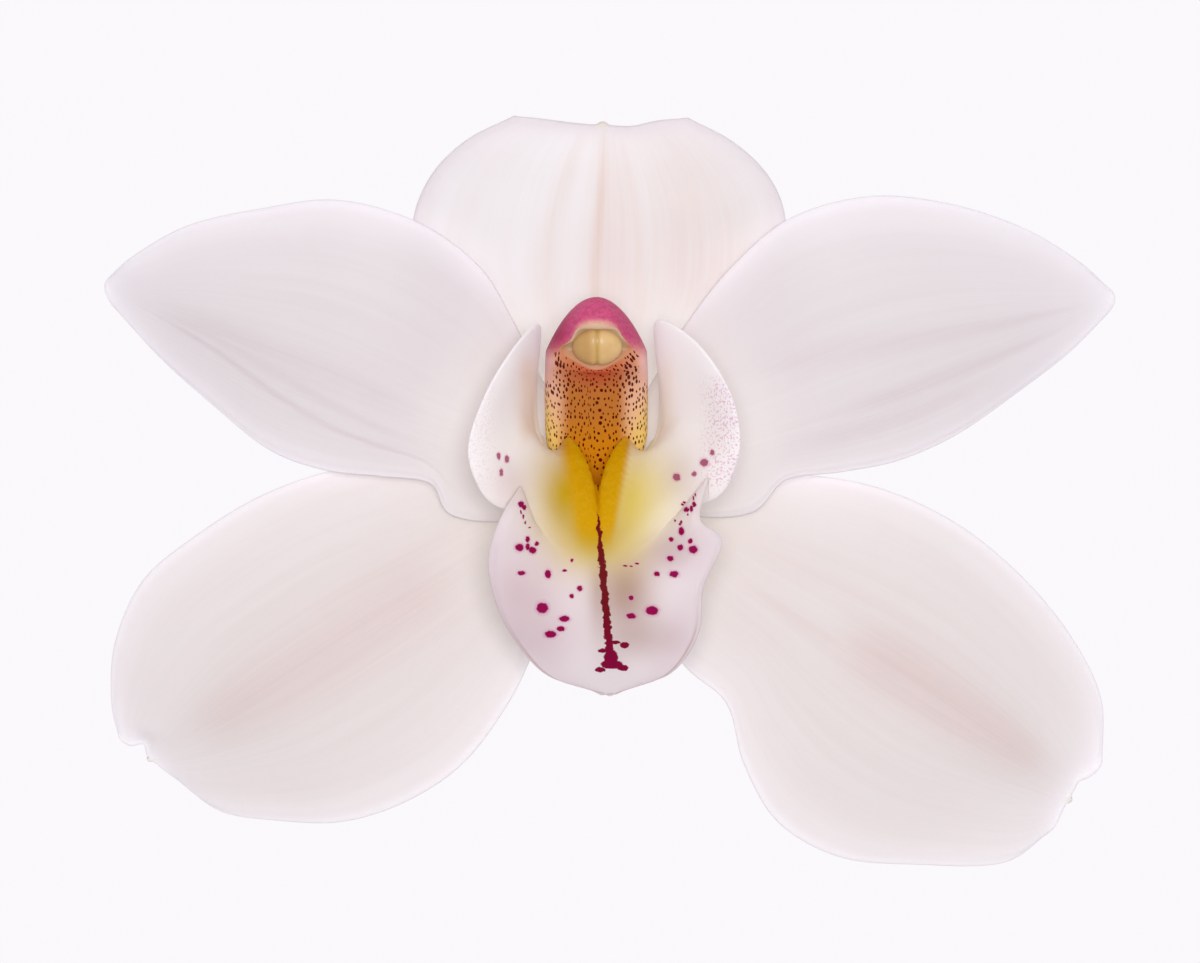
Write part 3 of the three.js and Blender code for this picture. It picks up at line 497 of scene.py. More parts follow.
# The markings, in millimetres as the bloom is looked at: each spot's centre and its two radii.
SPOTS = [
    (-8.65, -3.75, 0.3, 0.32), (-8.3, -4.1, 0.24, 0.26), (-7.9, -7.6, 0.25, 0.34), (-6.9, -8.1, 0.24, 0.24),
    (-8.8, -8.5, 0.46, 0.42), (-7.9, -8.4, 0.26, 0.36), (-7.4, -8.8, 0.38, 0.38), (-8.6, -11.3, 0.42, 0.26),
    (-5.7, -11.4, 0.36, 0.46), (-3.1, -9.9, 0.18, 0.2), (-2.2, -13.0, 0.3, 0.3), (-3.1, -13.8, 0.24, 0.24),
    (-6.3, -15.1, 0.62, 0.6), (-3.9, -16.3, 0.56, 0.34), (-4.3, -17.4, 0.46, 0.26),
    (-5.4, -18.0, 0.62, 0.38),
    (10.0, -4.25, 0.2, 0.3), (10.3, -3.8, 0.2, 0.3), (9.45, -4.35, 0.3, 0.26), (8.9, -6.7, 0.32, 0.44),
    (7.8, -7.6, 0.26, 0.24), (8.8, -8.5, 0.34, 0.32), (9.9, -7.8, 0.26, 0.28), (10.2, -8.7, 0.48, 0.44),
    (7.7, -9.7, 0.38, 0.3), (6.2, -11.4, 0.32, 0.28), (8.1, -11.4, 0.5, 0.36), (3.4, -14.0, 0.27, 0.25),
    (5.7, -15.4, 0.68, 0.5), (3.4, -16.0, 0.5, 0.32),
    (-11.1, 1.5, 0.2, 0.38), (-10.2, 1.2, 0.24, 0.38), (-10.8, -0.3, 0.2, 0.38), (12.3, 1.9, 0.24, 0.3),
    (11.4, 0.8, 0.42, 0.42), (8.4, -0.8, 0.38, 0.4), (10.3, -0.4, 0.24, 0.28),
    (10.2, -3.1, 0.1, 0.2), (10.45, -2.75, 0.1, 0.2), (9.0, -3.8, 0.16, 0.12), (9.25, -3.55, 0.16, 0.12),
    (9.6, -4.9, 0.12, 0.14), (8.75, -5.95, 0.14, 0.16), (8.9, -5.7, 0.12, 0.16), (8.2, -5.55, 0.1, 0.12),
    (-8.65, -4.6, 0.1, 0.22), (-8.4, -5.1, 0.1, 0.24), (-8.15, -5.75, 0.1, 0.2), (-7.7, -6.3, 0.14, 0.1),
    (-3.9, -11.05, 0.24, 0.13), (2.75, -10.5, 0.24, 0.1), (3.4, -10.55, 0.16, 0.1),
    (4.05, -10.25, 0.22, 0.13),
]
# How far the marks' edges wander, and how many wanderings, tears and grains of dust lie in a
# millimetre.
RAGGED_MM = 0.3
RAGS_PER_MM, TEARS_PER_MM, DUST_PER_MM = 2.6, 1.7, 3.8
# Soft zones of colour on the lip: each one's centre, its two radii and its strength.
# The throat's yellow is its own colour. Its left is painted deeper ochre as shade and its right lighter as
# painted light, with the light from the right.
GLOW = [(3.2, -3.2, 2.6, 5.8, 0.8), (5.6, -2.3, 3.4, 4.5, 0.4), (-0.4, -8.0, 3.6, 2.6, 0.6)]
OCHRE_AND_LEFT_SHADE = [(-3.7, -2.6, 3.4, 5.6, 1.0), (-0.6, -6.4, 3.3, 3.8, 1.0)]
SHADE = [(2.8, -13.2, 3.0, 4.4, 0.8), (4.0, -18.4, 3.0, 2.2, 0.35), (-0.3, -13.2, 0.9, 4.5, 0.4)]
# Painted shade: grey-pink patches where the lip curves and folds away from the light.
PINK_GREY_SHADE = [(-8.2, -13.5, 4.5, 4.5, 0.45), (-6.0, -18.5, 4.0, 3.0, 0.3), (7.8, -18.5, 2.6, 2.4, 0.3),
         (7.4, -8.9, 3.4, 2.2, 0.55), (8.8, -0.8, 2.6, 3.2, 0.35), (-9.8, -1.4, 2.4, 2.6, 0.4)]
# The streak down the middle: its line, its half width at the top and further down, the length
# that it widens over, how far its edge is torn, and how far down it turns from crimson to magenta.
STREAK_X, STREAK_TOP, STREAK_END, STREAK_LEAN = -0.25, -4.6, -21.2, 0.084
STREAK_NARROW, STREAK_WIDE, STREAK_WIDENS, STREAK_TEAR = 0.08, 0.4, 6.0, 0.4
MAGENTA_FROM, MAGENTA_FULL = 11.0, 16.0
# The blots that it runs out into, given as the spots are.
BLOTS = [
    (1.2, -20.6, 0.75, 0.9), (1.3, -21.3, 1.2, 0.5), (0.0, -21.9, 0.58, 0.3), (2.5, -21.7, 0.58, 0.34),
    (1.7, -18.9, 0.6, 0.2), (2.7, -19.2, 0.5, 0.34), (0.3, -19.8, 0.5, 0.24), (-0.2, -1.7, 0.1, 0.6),
]


def zones(x, y, soft):
    """How strongly the soft zones cover each point together."""
    bare = [1 - power * bell(np.hypot((x - at_x) / wide, (y - at_y) / high), 1.0)
            for at_x, at_y, wide, high, power in soft]
    return 1 - np.prod(bare, axis=0)


def nearest_mark(tree, marks, at):
    """The distance to the nearest of the marks, in shares of that mark's own radius."""
    nearest = None
    for x, y, radius_x, radius_y in marks:
        centre = (np.array([x, y, 0.0]) + FLOWER_CENTRE) * MM * [1, 1, 0]
        scale = np.array([1 / radius_x, 1 / radius_y, 0.0]) / MM
        scaled = add_node(tree, "ShaderNodeVectorMath", {
            0: at, 1: scale.tolist(), 2: (-centre * scale).tolist()}, operation="MULTIPLY_ADD")
        far = add_node(tree, "ShaderNodeVectorMath", {0: scaled.outputs[0]}, operation="LENGTH")
        if nearest is None:
            nearest = far.outputs["Value"]
        else:
            nearer = add_node(tree, "ShaderNodeMath", {0: nearest, 1: far.outputs["Value"]},
                              operation="MINIMUM")
            nearest = nearer.outputs[0]
    return nearest


# Lip flesh is petal flesh with pigment in single cells under the skin, so its markings have soft
# ragged edges and pink halos. The eye gets white and lilac, a bright yellow throat, and magenta. Shade
# is painted into the colour as well: on the side lobes' inner walls, along the curled edge, in
# grey-pink and brown patches, and as deeper ochre on the throat's left, with its right painted lighter.
lip_face, tree = new_material("lip_flesh_with_markings")
place = add_node(tree, "ShaderNodeTexCoord")
ragged = add_node(tree, "ShaderNodeTexNoise", {"Vector": place.outputs["Object"], "Scale": RAGS_PER_MM / MM})
shake = add_node(tree, "ShaderNodeVectorMath", {0: ragged.outputs[1], 1: (0.5,) * 3}, operation="SUBTRACT")
shaken = add_node(tree, "ShaderNodeVectorMath", {
    0: shake.outputs[0], 1: (RAGGED_MM * MM,) * 3, 2: place.outputs["Object"]}, operation="MULTIPLY_ADD")
nearest = nearest_mark(tree, SPOTS, shaken.outputs[0])
spot = add_node(tree, "ShaderNodeMapRange", {0: nearest, 1: 1.12, 2: 0.88}, interpolation_type="SMOOTHSTEP")
halo = add_node(tree, "ShaderNodeMapRange", {0: nearest, 1: 1.8, 2: 0.9, 4: 0.5},
                interpolation_type="SMOOTHSTEP")
faint = add_node(tree, "ShaderNodeMath", {0: spot.outputs[0], 1: strength(tree, "pigment")},
                 operation="MULTIPLY")
nearest = nearest_mark(tree, BLOTS, shaken.outputs[0])
blot = add_node(tree, "ShaderNodeMapRange", {0: nearest, 1: 1.1, 2: 0.9}, interpolation_type="SMOOTHSTEP")
axes = add_node(tree, "ShaderNodeSeparateXYZ", {0: shaken.outputs[0]})
down = add_node(tree, "ShaderNodeMath", {
    0: axes.outputs[1], 1: -1.0, 2: (STREAK_TOP + FLOWER_CENTRE[1]) * MM}, operation="MULTIPLY_ADD")
line = add_node(tree, "ShaderNodeMath", {
    0: down.outputs[0], 1: STREAK_LEAN, 2: (STREAK_X + FLOWER_CENTRE[0]) * MM}, operation="MULTIPLY_ADD")
off = add_node(tree, "ShaderNodeMath", {0: axes.outputs[0], 1: line.outputs[0]}, operation="SUBTRACT")
tear = add_node(tree, "ShaderNodeTexNoise", {
    "Vector": place.outputs["Object"], "Scale": TEARS_PER_MM / MM, "Detail": 3.0})
torn = add_node(tree, "ShaderNodeMapRange", {0: tear.outputs[0], 3: -STREAK_TEAR * MM, 4: STREAK_TEAR * MM})
ripped = add_node(tree, "ShaderNodeMath", {0: off.outputs[0], 1: torn.outputs[0]}, operation="ADD")
aside = add_node(tree, "ShaderNodeMath", {0: ripped.outputs[0]}, operation="ABSOLUTE")
wide = add_node(tree, "ShaderNodeMapRange", {
    0: down.outputs[0], 1: 0.0, 2: STREAK_WIDENS * MM, 3: STREAK_NARROW * MM, 4: STREAK_WIDE * MM})
share = add_node(tree, "ShaderNodeMath", {0: aside.outputs[0], 1: wide.outputs[0]}, operation="DIVIDE")
inside = add_node(tree, "ShaderNodeMapRange", {0: share.outputs[0], 1: 1.15, 2: 0.85},
                  interpolation_type="SMOOTHSTEP")
begun = add_node(tree, "ShaderNodeMapRange", {0: down.outputs[0], 1: -0.1 * MM, 2: 0.4 * MM})
ended = add_node(tree, "ShaderNodeMapRange", {
    0: down.outputs[0], 1: (STREAK_TOP - STREAK_END) * MM, 2: (STREAK_TOP - STREAK_END - 0.3) * MM})
run = add_node(tree, "ShaderNodeMath", {0: begun.outputs[0], 1: ended.outputs[0]}, operation="MULTIPLY")
streak = add_node(tree, "ShaderNodeMath", {0: inside.outputs[0], 1: run.outputs[0]}, operation="MULTIPLY")
crimson = add_node(tree, "ShaderNodeMath", {0: streak.outputs[0], 1: blot.outputs[0]}, operation="MAXIMUM")
deep = add_node(tree, "ShaderNodeMapRange", {0: down.outputs[0], 1: MAGENTA_FROM * MM, 2: MAGENTA_FULL * MM})
magenta = add_node(tree, "ShaderNodeMath", {0: crimson.outputs[0], 1: deep.outputs[0]}, operation="MULTIPLY")
dust = add_node(tree, "ShaderNodeTexNoise", {
    "Vector": place.outputs["Object"], "Scale": DUST_PER_MM / MM, "Detail": 1.0})
grains = add_node(tree, "ShaderNodeMapRange", {0: dust.outputs[0], 1: 0.52, 2: 0.64})
speckle = add_node(tree, "ShaderNodeMath", {0: grains.outputs[0], 1: strength(tree, "speckle")},
                   operation="MULTIPLY")
tufts = add_node(tree, "ShaderNodeMapRange", {0: ragged.outputs[0], 1: 0.45, 2: 0.7, 4: 0.35})
tufted = add_node(tree, "ShaderNodeMath", {0: tufts.outputs[0], 1: strength(tree, "gold")},
                  operation="MULTIPLY")
flesh = lay_colours(
    tree, "#fffefe", ("#eae0e5", strength(tree, "lilac")), ("#f0dcc6", strength(tree, "lobe_wall_shade")),
    ("#cdb2b8", strength(tree, "blush")), ("#b89684", strength(tree, "shade")),
    ("#c4a094", strength(tree, "recurve_shadow")), ("#d98fc0", speckle.outputs[0]),
    ("#ecd84c", strength(tree, "glow")), ("#d3b422", strength(tree, "ochre_and_left_shade")),
    ("#e2b200", strength(tree, "gold")), ("#ecc430", tufted.outputs[0]),
    ("#f0cc60", strength(tree, "fuzz")), ("#dd93bd", halo.outputs[0]), ("#9c0c54", faint.outputs[0]),
    ("#7a141e", crimson.outputs[0]), ("#8e0840", magenta.outputs[0]))
lip_surface = add_node(tree, "ShaderNodeBsdfPrincipled", {
    "Base Color": flesh, "Roughness": 0.55, "IOR": 1.38, "Specular IOR Level": 0.12})
lip_through = add_node(tree, "ShaderNodeBsdfTranslucent", {"Color": flesh})
mixed = add_node(tree, "ShaderNodeMixShader", {
    0: 0.6, 1: lip_surface.outputs[0], 2: lip_through.outputs[0]})
add_node(tree, "ShaderNodeOutputMaterial", {0: mixed.outputs[0]})
lip_reverse = tepal_flesh("matt_lip_back", "#f3eaee", "#f9f4f8", "#e8dade", "#d8bcc4", "#f6f2ea")

points, normals, u, v = sheet(LABELLUM, LIP_ROWS, LIP_COLUMNS)
keel_place, keel_width, keel_reach = (
    np.interp(u[:, 0], KEEL_ALONG, row) for row in (KEEL_PLACE, KEEL_WIDTH, KEEL_REACH))
crest = np.stack([np.interp(u[:, 0], KEEL_ALONG, row) for row in np.transpose(KEEL_CREST)], -1)
pull, keel = np.zeros(points.shape), np.zeros(u.shape)
for hand in (-1, 1):
    nearby = bell(hand * v - keel_place[:, None], keel_width[:, None]) * keel_reach[:, None]
    goal = crest * [-hand, 1, 1] + [KEEL_X, 0, 0]
    foot = np.stack([[np.interp(hand * place, v[0], row[:, axis]) for axis in range(3)]
                     for place, row in zip(keel_place, points)])
    pull += nearby[..., None] * (goal - foot)[:, None, :]
    keel = np.maximum(keel, nearby)
fur = np.random.default_rng(5).uniform(-1, 1, u.shape) * FUR_MM * keel
half = (LIP_MIDDLE + (LIP_EDGE - LIP_MIDDLE) * np.abs(v)) / 2
waves = WAVE_MM * np.sin(WAVES * np.pi * u) * ramp(np.abs(v), 0.6, 1) ** 2 * ramp(u, 0.6, 0.7)
recurve = RECURVE_MM * ramp(np.abs(v), 0.9, 1) ** 2 * ramp(u, 0.62, 0.7)
middle = points + normals * (waves - recurve)[..., None]
shown = middle + pull + normals * (half + fur)[..., None]
x, y = shown[..., 0], shown[..., 1]
inside_mm = GOLD_HALF + GOLD_WIDENS * (y - GOLD_AT) - np.abs(x - GOLD_X)
gold = ramp(inside_mm, np.where(x < 0, -0.9, -0.4), np.where(x < 0, 0.7, 0.3)) * ramp(y, -9.5, -5.5)
gold *= 1 - ramp(y, 5, 7)
hem_mm = np.minimum((1 - np.abs(v)) * np.linalg.norm(points[:, -1] - points[:, 0], axis=1)[:, None] / 2,
                    np.linalg.norm(points - points[-1, LIP_COLUMNS // 2], axis=2))
# How much of each colour lies at each point, with x and y in millimetres, and u and v as shares.
lip_strengths = {
    "glow": zones(x, y, GLOW), "ochre_and_left_shade": zones(x, y, OCHRE_AND_LEFT_SHADE), "shade": zones(x, y, SHADE),
    # The blush strength lays grey-pink painted shade.
    "blush": zones(x, y, PINK_GREY_SHADE), "gold": gold, "fuzz": 0.25 * keel * ramp(y, 2.2, 3.8),
    # The line along the midlobe's edge is a painted shadow, cast by its curled-back rim.
    "recurve_shadow": 0.6 * bell(hem_mm - 0.35, 0.14) * ramp(u, 0.82, 0.9), "pigment": 1 - 0.22 * ramp(y, -2.6, -1.4),
    "lilac": (0.4 + 0.3 * ramp(np.abs(v), 0.3, 1)) * ramp(u, 0.58, 0.7),
    # Painted shade on the side lobes' inner walls beside the column, stronger on the left.
    "lobe_wall_shade": (np.where(x < 0, 0.6, 0.3) * bell(np.abs(x + 0.3) - 7.6, 1.0) * ramp(y, 2, 5)
            * (1 - ramp(y, 10, 14))),
    "speckle": (np.where(x < 0, 0.15, 0.5) * ramp(np.abs(x), 10.2, 13) * ramp(y, -3, -1)
                * (1 - ramp(y, 9, 11))),
    # On the lip's back, edge is a painted lighter rim for light through the thin edge, and claw is its pale
    # claw tint.
    "edge": 0.5 * ramp(np.abs(v), 0.8, 1), "claw": 0.7 * bell(y + 1, 8), "tint": 0 * v, "hard_point": 0 * v,
}
lip = blade("spotted_lip", shown, middle - normals * half[..., None], [lip_face, lip_reverse], lip_strengths)
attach(lip, "root")
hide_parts("labellum")

# Column: the stamen and style grown into one fleshy club. Its front is flat and dotted, and its
# back rises into a magenta hood. Under the hood lies a cup for the anther cap, closed below by a
# thin ledge, and the stigma is the hollow under that ledge.

# Its middle line, and how far it is from its front to where it is widest, as a share of its depth.
COLUMN_X, COLUMN_WIDEST = -0.4, 0.36
# Its front and back lines, as y and z, and its half width, each at eight stations from its foot up.
FRONT_LINE = [
    [-2.2, 2.7], [-1.7, 4.7], [0.6, 7.6], [3.6, 10.6], [6.4, 13.8], [8.6, 16.6], [9.8, 18.3], [10.4, 19.2],
]
BACK_LINE = [
    [3.2, 2.7], [6.4, 4.2], [9.6, 6.8], [12.7, 10.0], [15.5, 13.6], [17.7, 17.4], [18.9, 20.6], [18.4, 22.3],
]
HALF_WIDTH = [2.8, 3.5, 5.4, 5.65, 5.65, 5.6, 5.5, 5.2]
# How peaked the hood's outline is at each station: 1 is round and 2 is a parabola. The front is a
# rounded square, and 2 would make it round.
HOOD_PEAK, FRONT_SQUARENESS = [1.2, 1.2, 1.2, 1.2, 1.2, 1.5, 1.9, 2.0], 3.2
# The cup's rim, from the right corner over the top to the left corner and back along the ledge.
CUP_RIM = [
    [3.6, 13.3, 21.3], [2.5, 14.5, 22.5], [1.7, 15.5, 23.2], [-0.25, 15.6, 23.4], [-2.3, 15.5, 23.2],
    [-3.2, 14.2, 22.4], [-4.4, 13.2, 21.3], [-2.7, 11.9, 20.5], [-0.4, 11.0, 19.9], [1.9, 11.9, 20.5],
]
CUP_RIM_AT = [0.0, 0.13, 0.2, 0.25, 0.3, 0.37, 0.5, 0.63, 0.75, 0.87]
CUP_FLOOR = np.array([-0.35, 13.6, 20.2])
# The shoulder's rise outside the rim, and the cup's wall and base as shares of the way to the rim.
SHOULDER_RISE, CUP_WALL, CUP_BASE = [0.0, 0.0, 0.35], 0.82, [0.45, 0.45, 0.3]
COLUMN_STEPS, COLUMN_SIDES = 190, 200
# The room that each dot has, and the least and greatest radius as shares of it.
DOT_WIDE, DOT_LONG, DOT_SMALL, DOT_BIG = 0.42, 1.15, 0.18, 0.31
GRAIN_PER_MM = 2.5

# Column flesh is firm and waxy. The eye gets magenta that fades to pale flanks, a cream cup, and
# an orange front with small dark red dots in rows, drawn out lengthwise. The hood's sides are
# painted darker as shade, most of all on the left, and the stigma's red under the ledge carries
# painted shade.
column_flesh, tree = new_material("waxy_dotted_column_flesh")
rail = add_node(tree, "ShaderNodeUVMap", uv_map="rail")
grid = add_node(tree, "ShaderNodeMapping",
                {"Vector": rail.outputs[0], "Scale": (1 / DOT_LONG, 1 / DOT_WIDE, 1.0)})
cells = add_node(tree, "ShaderNodeTexVoronoi", {
    "Vector": grid.outputs[0], "Scale": 1.0, "Randomness": 0.75}, voronoi_dimensions="2D")
size = add_node(tree, "ShaderNodeSeparateXYZ", {0: cells.outputs["Color"]})
big = add_node(tree, "ShaderNodeMapRange", {0: size.outputs[0], 3: DOT_SMALL, 4: DOT_BIG})
radius = add_node(tree, "ShaderNodeMath", {0: big.outputs[0], 1: strength(tree, "dotted")},
                  operation="MULTIPLY")
inner = add_node(tree, "ShaderNodeMath", {0: radius.outputs[0], 1: cells.outputs["Distance"]},
                 operation="SUBTRACT")
dot = add_node(tree, "ShaderNodeMapRange", {0: inner.outputs[0], 1: -0.02, 2: 0.03})
place = add_node(tree, "ShaderNodeTexCoord")
grain = add_node(tree, "ShaderNodeTexNoise", {
    "Vector": place.outputs["Object"], "Scale": GRAIN_PER_MM / MM, "Detail": 2.0})
mottle = add_node(tree, "ShaderNodeMapRange", {0: grain.outputs[0], 1: 0.4, 2: 0.65, 4: 0.4})
mottled = add_node(tree, "ShaderNodeMath", {0: mottle.outputs[0], 1: strength(tree, "hood")},
                   operation="MULTIPLY")
flesh = lay_colours(
    tree, "#e6b494", ("#ba6f24", strength(tree, "amber")), ("#f2d078", strength(tree, "yellow")),
    ("#dc9408", strength(tree, "low")), ("#e8b8b2", strength(tree, "flank")),
    ("#c25078", strength(tree, "hood")), ("#962c4c", mottled.outputs[0]),
    ("#94284a", strength(tree, "hood_side_shade")), ("#bfa182", strength(tree, "cream")),
    ("#b86c48", strength(tree, "warm")), ("#b2442a", strength(tree, "stigma_red_and_shade")), ("#560600", dot.outputs[0]))
bump = add_node(tree, "ShaderNodeBump", {"Height": grain.outputs[0], "Strength": 0.15, "Distance": 0.1 * MM})
wax = add_node(tree, "ShaderNodeBsdfPrincipled", {
    "Base Color": flesh, "Roughness": 0.45, "IOR": 1.4, "Specular IOR Level": 0.18,
    "Subsurface Weight": 0.15, "Subsurface Scale": 0.6 * MM, "Normal": bump.outputs[0]})
add_node(tree, "ShaderNodeOutputMaterial", {0: wax.outputs[0]})

angles = np.linspace(0, 2 * np.pi, COLUMN_SIDES, endpoint=False)
cosine, sine = np.cos(angles), np.sin(angles)
side = np.where(sine > 0, cosine, np.sign(cosine) * np.abs(cosine) ** (2 / FRONT_SQUARENESS))
hood_lift = np.maximum(sine, 0) ** np.array(HOOD_PEAK)[:, None]
lift = np.where(sine > 0, hood_lift, -np.abs(sine) ** (2 / FRONT_SQUARENESS))
height = COLUMN_WIDEST + lift * np.where(sine > 0, 1 - COLUMN_WIDEST, COLUMN_WIDEST)
belly, spine, widths = np.array(FRONT_LINE), np.array(BACK_LINE), np.array(HALF_WIDTH)
stations = np.empty((len(widths), COLUMN_SIDES, 3))
stations[..., 0] = COLUMN_X + widths[:, None] * side
stations[..., 1:] = belly[:, None, :] + (spine - belly)[:, None, :] * height[..., None]
closed_rim = np.concatenate([CUP_RIM, CUP_RIM[:1]])
rim_place = np.interp(angles / (2 * np.pi), CUP_RIM_AT + [1.0], np.linspace(0, 1, len(closed_rim)))
cup_rim = smooth_curve(closed_rim, rim_place)
shoulder = (stations[-1] + cup_rim) / 2 + SHOULDER_RISE
cup_wall = CUP_FLOOR + (cup_rim - CUP_FLOOR) * CUP_WALL
cup_base = CUP_FLOOR + (cup_rim - CUP_FLOOR) * CUP_BASE
stack = np.concatenate([stations, [shoulder, cup_rim, cup_wall, cup_base]])
t = np.linspace(0, 1, COLUMN_STEPS + 1)
rings = smooth_curve(stack, t)
column = loft("hooded_column", rings, column_flesh)
around_mm = np.cumsum(np.linalg.norm(np.diff(rings, axis=1, append=rings[:, :1]), axis=2), axis=1)
around_mm -= around_mm[:, 3 * COLUMN_SIDES // 4, None]
along_mm = np.cumsum(np.linalg.norm(np.diff(rings, axis=0, prepend=rings[:1]), axis=2), axis=0)
map_points(column, with_ends(np.stack([along_mm, around_mm], -1)))
step = (t * (len(stack) - 1))[:, None]
x, y = rings[..., 0] - COLUMN_X, rings[..., 1]
rim_step = len(stations) + 1
front = ramp(-sine, -0.15, 0.25)
below_rim = 1 - ramp(step, rim_step - 0.35, rim_step - 0.05)
in_cup = ramp(step, rim_step + 0.05, rim_step + 0.3)
top_fade = bell(x, 1.7) * ramp(step, rim_step - 0.8, rim_step) * (sine > 0.3)
hood = np.clip(ramp(sine, -0.5, 0.1) * ramp(y, 11.2, 14.8) * (1 - in_cup) - top_fade, 0, 1)
middle_share = 1 - ramp(np.abs(x + 0.3), 2.4, 4.4)
flank = ramp(np.abs(x), 4.2, 5.2) * bell(y - 11.6, 2.2) * below_rim
left_flank = flank * (x < 0) * (1 - hood)
# How much of each colour lies at each point, with x from the column's middle and y in millimetres.
column_strengths = {
    "dotted": (front * below_rim * ramp(step, 1.0, 2.0)
               * (1 - ramp(np.abs(x), 4.3, 4.9) * ramp(y, 9.2, 10.2))
               * (0.9 + 0.45 * ramp(y, 6, 11) * ramp(np.abs(x), 1.5, 3.5))),
    "hood": hood,
    # Painted shade: the hood's sides, most of all on the left, and the left flank are painted darker, away
    # from the light.
    "hood_side_shade": np.where(x < 0, 0.85, 0.2) * hood * ramp(np.abs(x + 0.5), 1.5, 4) + 0.2 * left_flank,
    "cream": np.clip(top_fade + ramp(step, rim_step - 0.06, rim_step), 0, 1),
    # Under the ledge: the stigma's own red, darkened further as painted shade from the ledge above.
    "stigma_red_and_shade": 0.9 * bell(x, 3.2) * bell(y - 10.6, 1.5) * front * below_rim,
    "warm": 0.7 * np.where(step < rim_step, (1 - ramp(np.abs(x), 3.8, 5.4)) * bell(y - 12.0, 2.2) * front,
                           np.maximum(ramp(np.abs(x), 2.7, 3.7), 0.75 * (sine < -0.2))),
    "amber": (0.95 - 0.2 * ramp(y, 8, 12)) * middle_share * front,
    "low": 0.8 * (1 - ramp(y, 2, 7)) * middle_share * front,
    "yellow": (ramp(6.0 + 4.5 * (np.abs(x) / 5.6) ** 3 - y, 0, 6) * ramp(-sine, -0.3, 0.1)
               * (1 - middle_share)),
    "flank": flank,
}
for key, field in column_strengths.items():
    paint(column, key, with_ends(field))
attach(column, "root")
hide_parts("column")

# Anther cap: a lid over the pollen, held by a thread under the hood until an insect lifts it off.
# It is two smooth cream lobes with a groove between them.
CAP_CENTRE = np.array([-0.3, 13.5, 21.7])
CAP_HALF = np.array([2.75, 2.2, 1.6])
CAP_TILT = 0.6
CAP_GROOVE, CAP_GROOVE_WIDTH = 0.06, 0.1
CAP_STEPS, CAP_SIDES = 70, 96
CLOUDS_PER_MM = 0.6

# Firm cream skin with cloudy tone, its left lobe painted darker as painted shade. The eye gets a soft satin.
cap_flesh, tree = new_material("satin_anther_cap_skin")
place = add_node(tree, "ShaderNodeTexCoord")
clouds = add_node(tree, "ShaderNodeTexNoise", {
    "Vector": place.outputs["Object"], "Scale": CLOUDS_PER_MM / MM, "Detail": 2.0})
cloud = add_node(tree, "ShaderNodeMapRange", {0: clouds.outputs[0], 1: 0.35, 2: 0.7, 4: 0.3})
flesh = lay_colours(tree, "#d2ae78", ("#b07c3c", cloud.outputs[0]), ("#a87c40", strength(tree, "left_lobe_shade")),
                    ("#a88438", strength(tree, "groove")))
satin = add_node(tree, "ShaderNodeBsdfPrincipled", {
    "Base Color": flesh, "Roughness": 0.38, "IOR": 1.4,
    "Subsurface Weight": 0.15, "Subsurface Scale": 0.5 * MM})
add_node(tree, "ShaderNodeOutputMaterial", {0: satin.outputs[0]})

polar = np.linspace(np.pi, 0, CAP_STEPS + 2)[1:-1]
angles = np.linspace(0, 2 * np.pi, CAP_SIDES, endpoint=False)
ball = np.stack([np.sin(polar)[:, None] * np.cos(angles), np.sin(polar)[:, None] * np.sin(angles),
                 np.repeat(np.cos(polar)[:, None], CAP_SIDES, 1)], -1)
groove = bell(ball[..., 0], CAP_GROOVE_WIDTH)
cosine, sine = np.cos(CAP_TILT), np.sin(CAP_TILT)
turn = np.array([[1, 0, 0], [0, cosine, -sine], [0, sine, cosine]])
lobes = ball * (1 - CAP_GROOVE * groove[..., None]) * CAP_HALF
cap = loft("two_lobed_anther_cap", lobes @ turn.T + CAP_CENTRE, cap_flesh)
paint(cap, "groove", with_ends(0.7 * groove))
# Painted shade: the left lobe is painted darker, away from the light.
paint(cap, "left_lobe_shade", with_ends(0.65 * ramp(-ball[..., 0], -0.1, 0.5)))
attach(cap, "root")
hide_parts("anther_cap")

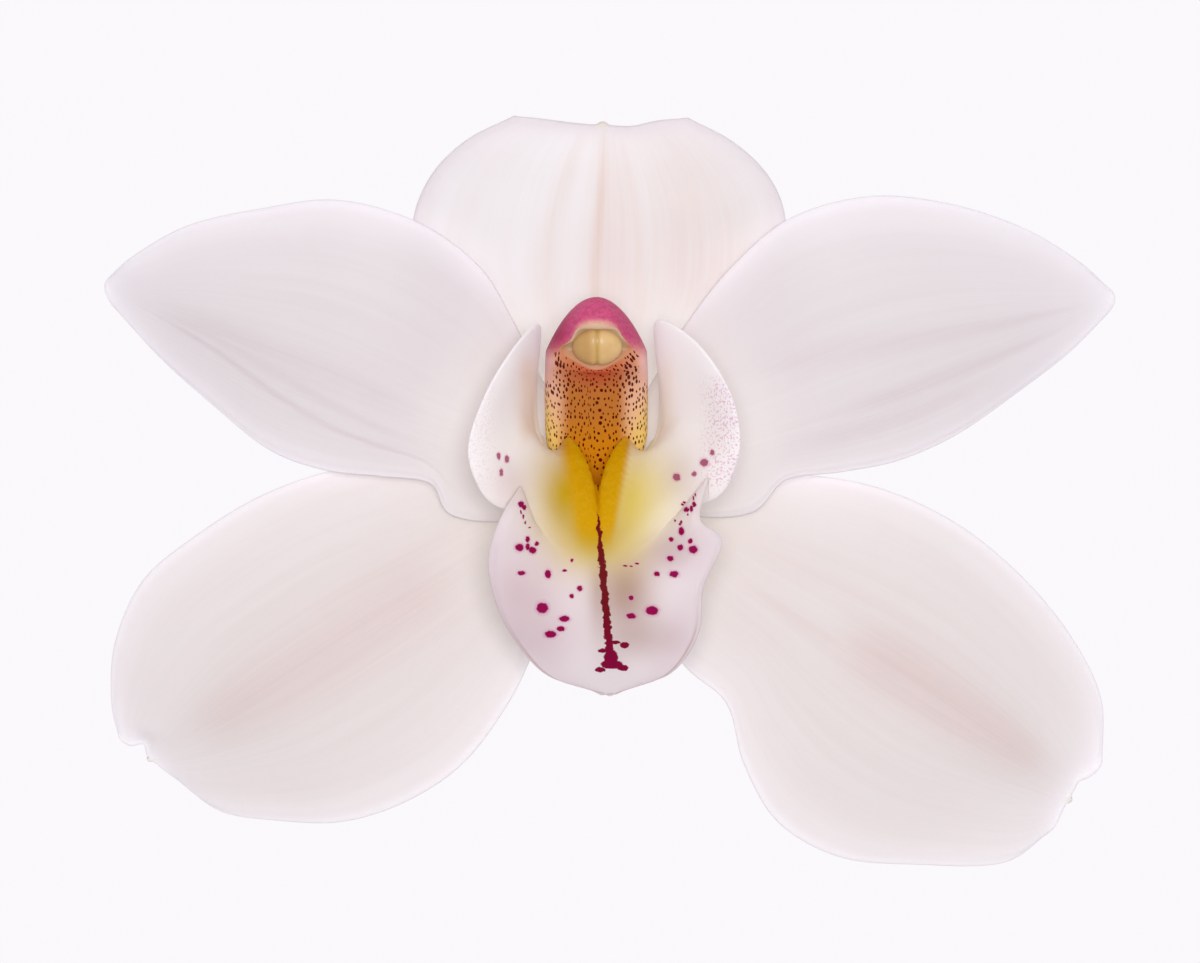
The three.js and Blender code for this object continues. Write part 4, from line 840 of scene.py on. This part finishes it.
# The table under the bloom is a pale sheet lit from below. The bloom throws hardly a shadow on it,
# and its light comes up through the leaves.
TABLE_HALF, TABLE_GAP, TABLE_GLOW = 1.5, 0.0001, 0.99
sheet_finish, tree = new_material("pale_matt_backlit_table")
paper = add_node(tree, "ShaderNodeBsdfPrincipled", {
    "Base Color": colour("#101010"), "Roughness": 0.9, "Specular IOR Level": 0.0,
    "Emission Color": colour("#fbf9fc"), "Emission Strength": TABLE_GLOW})
add_node(tree, "ShaderNodeOutputMaterial", {0: paper.outputs[0]})
mesh = bpy.data.meshes.new("table")
corners = [(x * TABLE_HALF, y * TABLE_HALF, -TABLE_GAP) for x, y in ((-1, -1), (1, -1), (1, 1), (-1, 1))]
mesh.from_pydata(corners, [], [(0, 1, 2, 3)])
mesh.materials.append(sheet_finish)
table = bpy.data.objects.new("table", mesh)
bpy.context.scene.collection.objects.link(table)

# Light: an even white room, and one broad soft light from almost straight overhead, so that the
# leaves are modelled by their slope and hardly shade each other.
ROOM_STRENGTH, BROAD_STRENGTH, BROAD_ANGLE = 0.54, 2.3, 0.28
BROAD_FROM = (0.02, 0.04, 1.0)
world = bpy.data.worlds.new("soft_room")
world.use_nodes = True
world.node_tree.nodes["Background"].inputs["Color"].default_value = colour("#fdfcff")
world.node_tree.nodes["Background"].inputs["Strength"].default_value = ROOM_STRENGTH
bpy.context.scene.world = world
lamp = bpy.data.lights.new("broad_light", "SUN")
lamp.angle, lamp.energy = BROAD_ANGLE, BROAD_STRENGTH
broad = bpy.data.objects.new("broad_light", lamp)
broad.location = BROAD_FROM
broad.rotation_euler = broad.location.to_track_quat("Z", "Y").to_euler()
bpy.context.scene.collection.objects.link(broad)

# Camera: straight down on the bloom from four metres, through a long lens, so that what stands
# nearer to it looks hardly larger.
VIEW_WIDTH, VIEW_CENTRE = 132.0, (0.0, -1.27)
CAMERA_HEIGHT, SENSOR = 4.0, 36.0
lens = bpy.data.cameras.new("camera")
lens.sensor_width = SENSOR
lens.lens = SENSOR * CAMERA_HEIGHT / (VIEW_WIDTH * MM)
camera = bpy.data.objects.new("camera", lens)
aim = (np.array([*VIEW_CENTRE, 0.0]) + FLOWER_CENTRE) * MM
camera.location = (aim[0], aim[1], aim[2] + CAMERA_HEIGHT)
bpy.context.scene.collection.objects.link(camera)
bpy.context.scene.camera = camera
bpy.context.scene.view_settings.view_transform = "Standard"
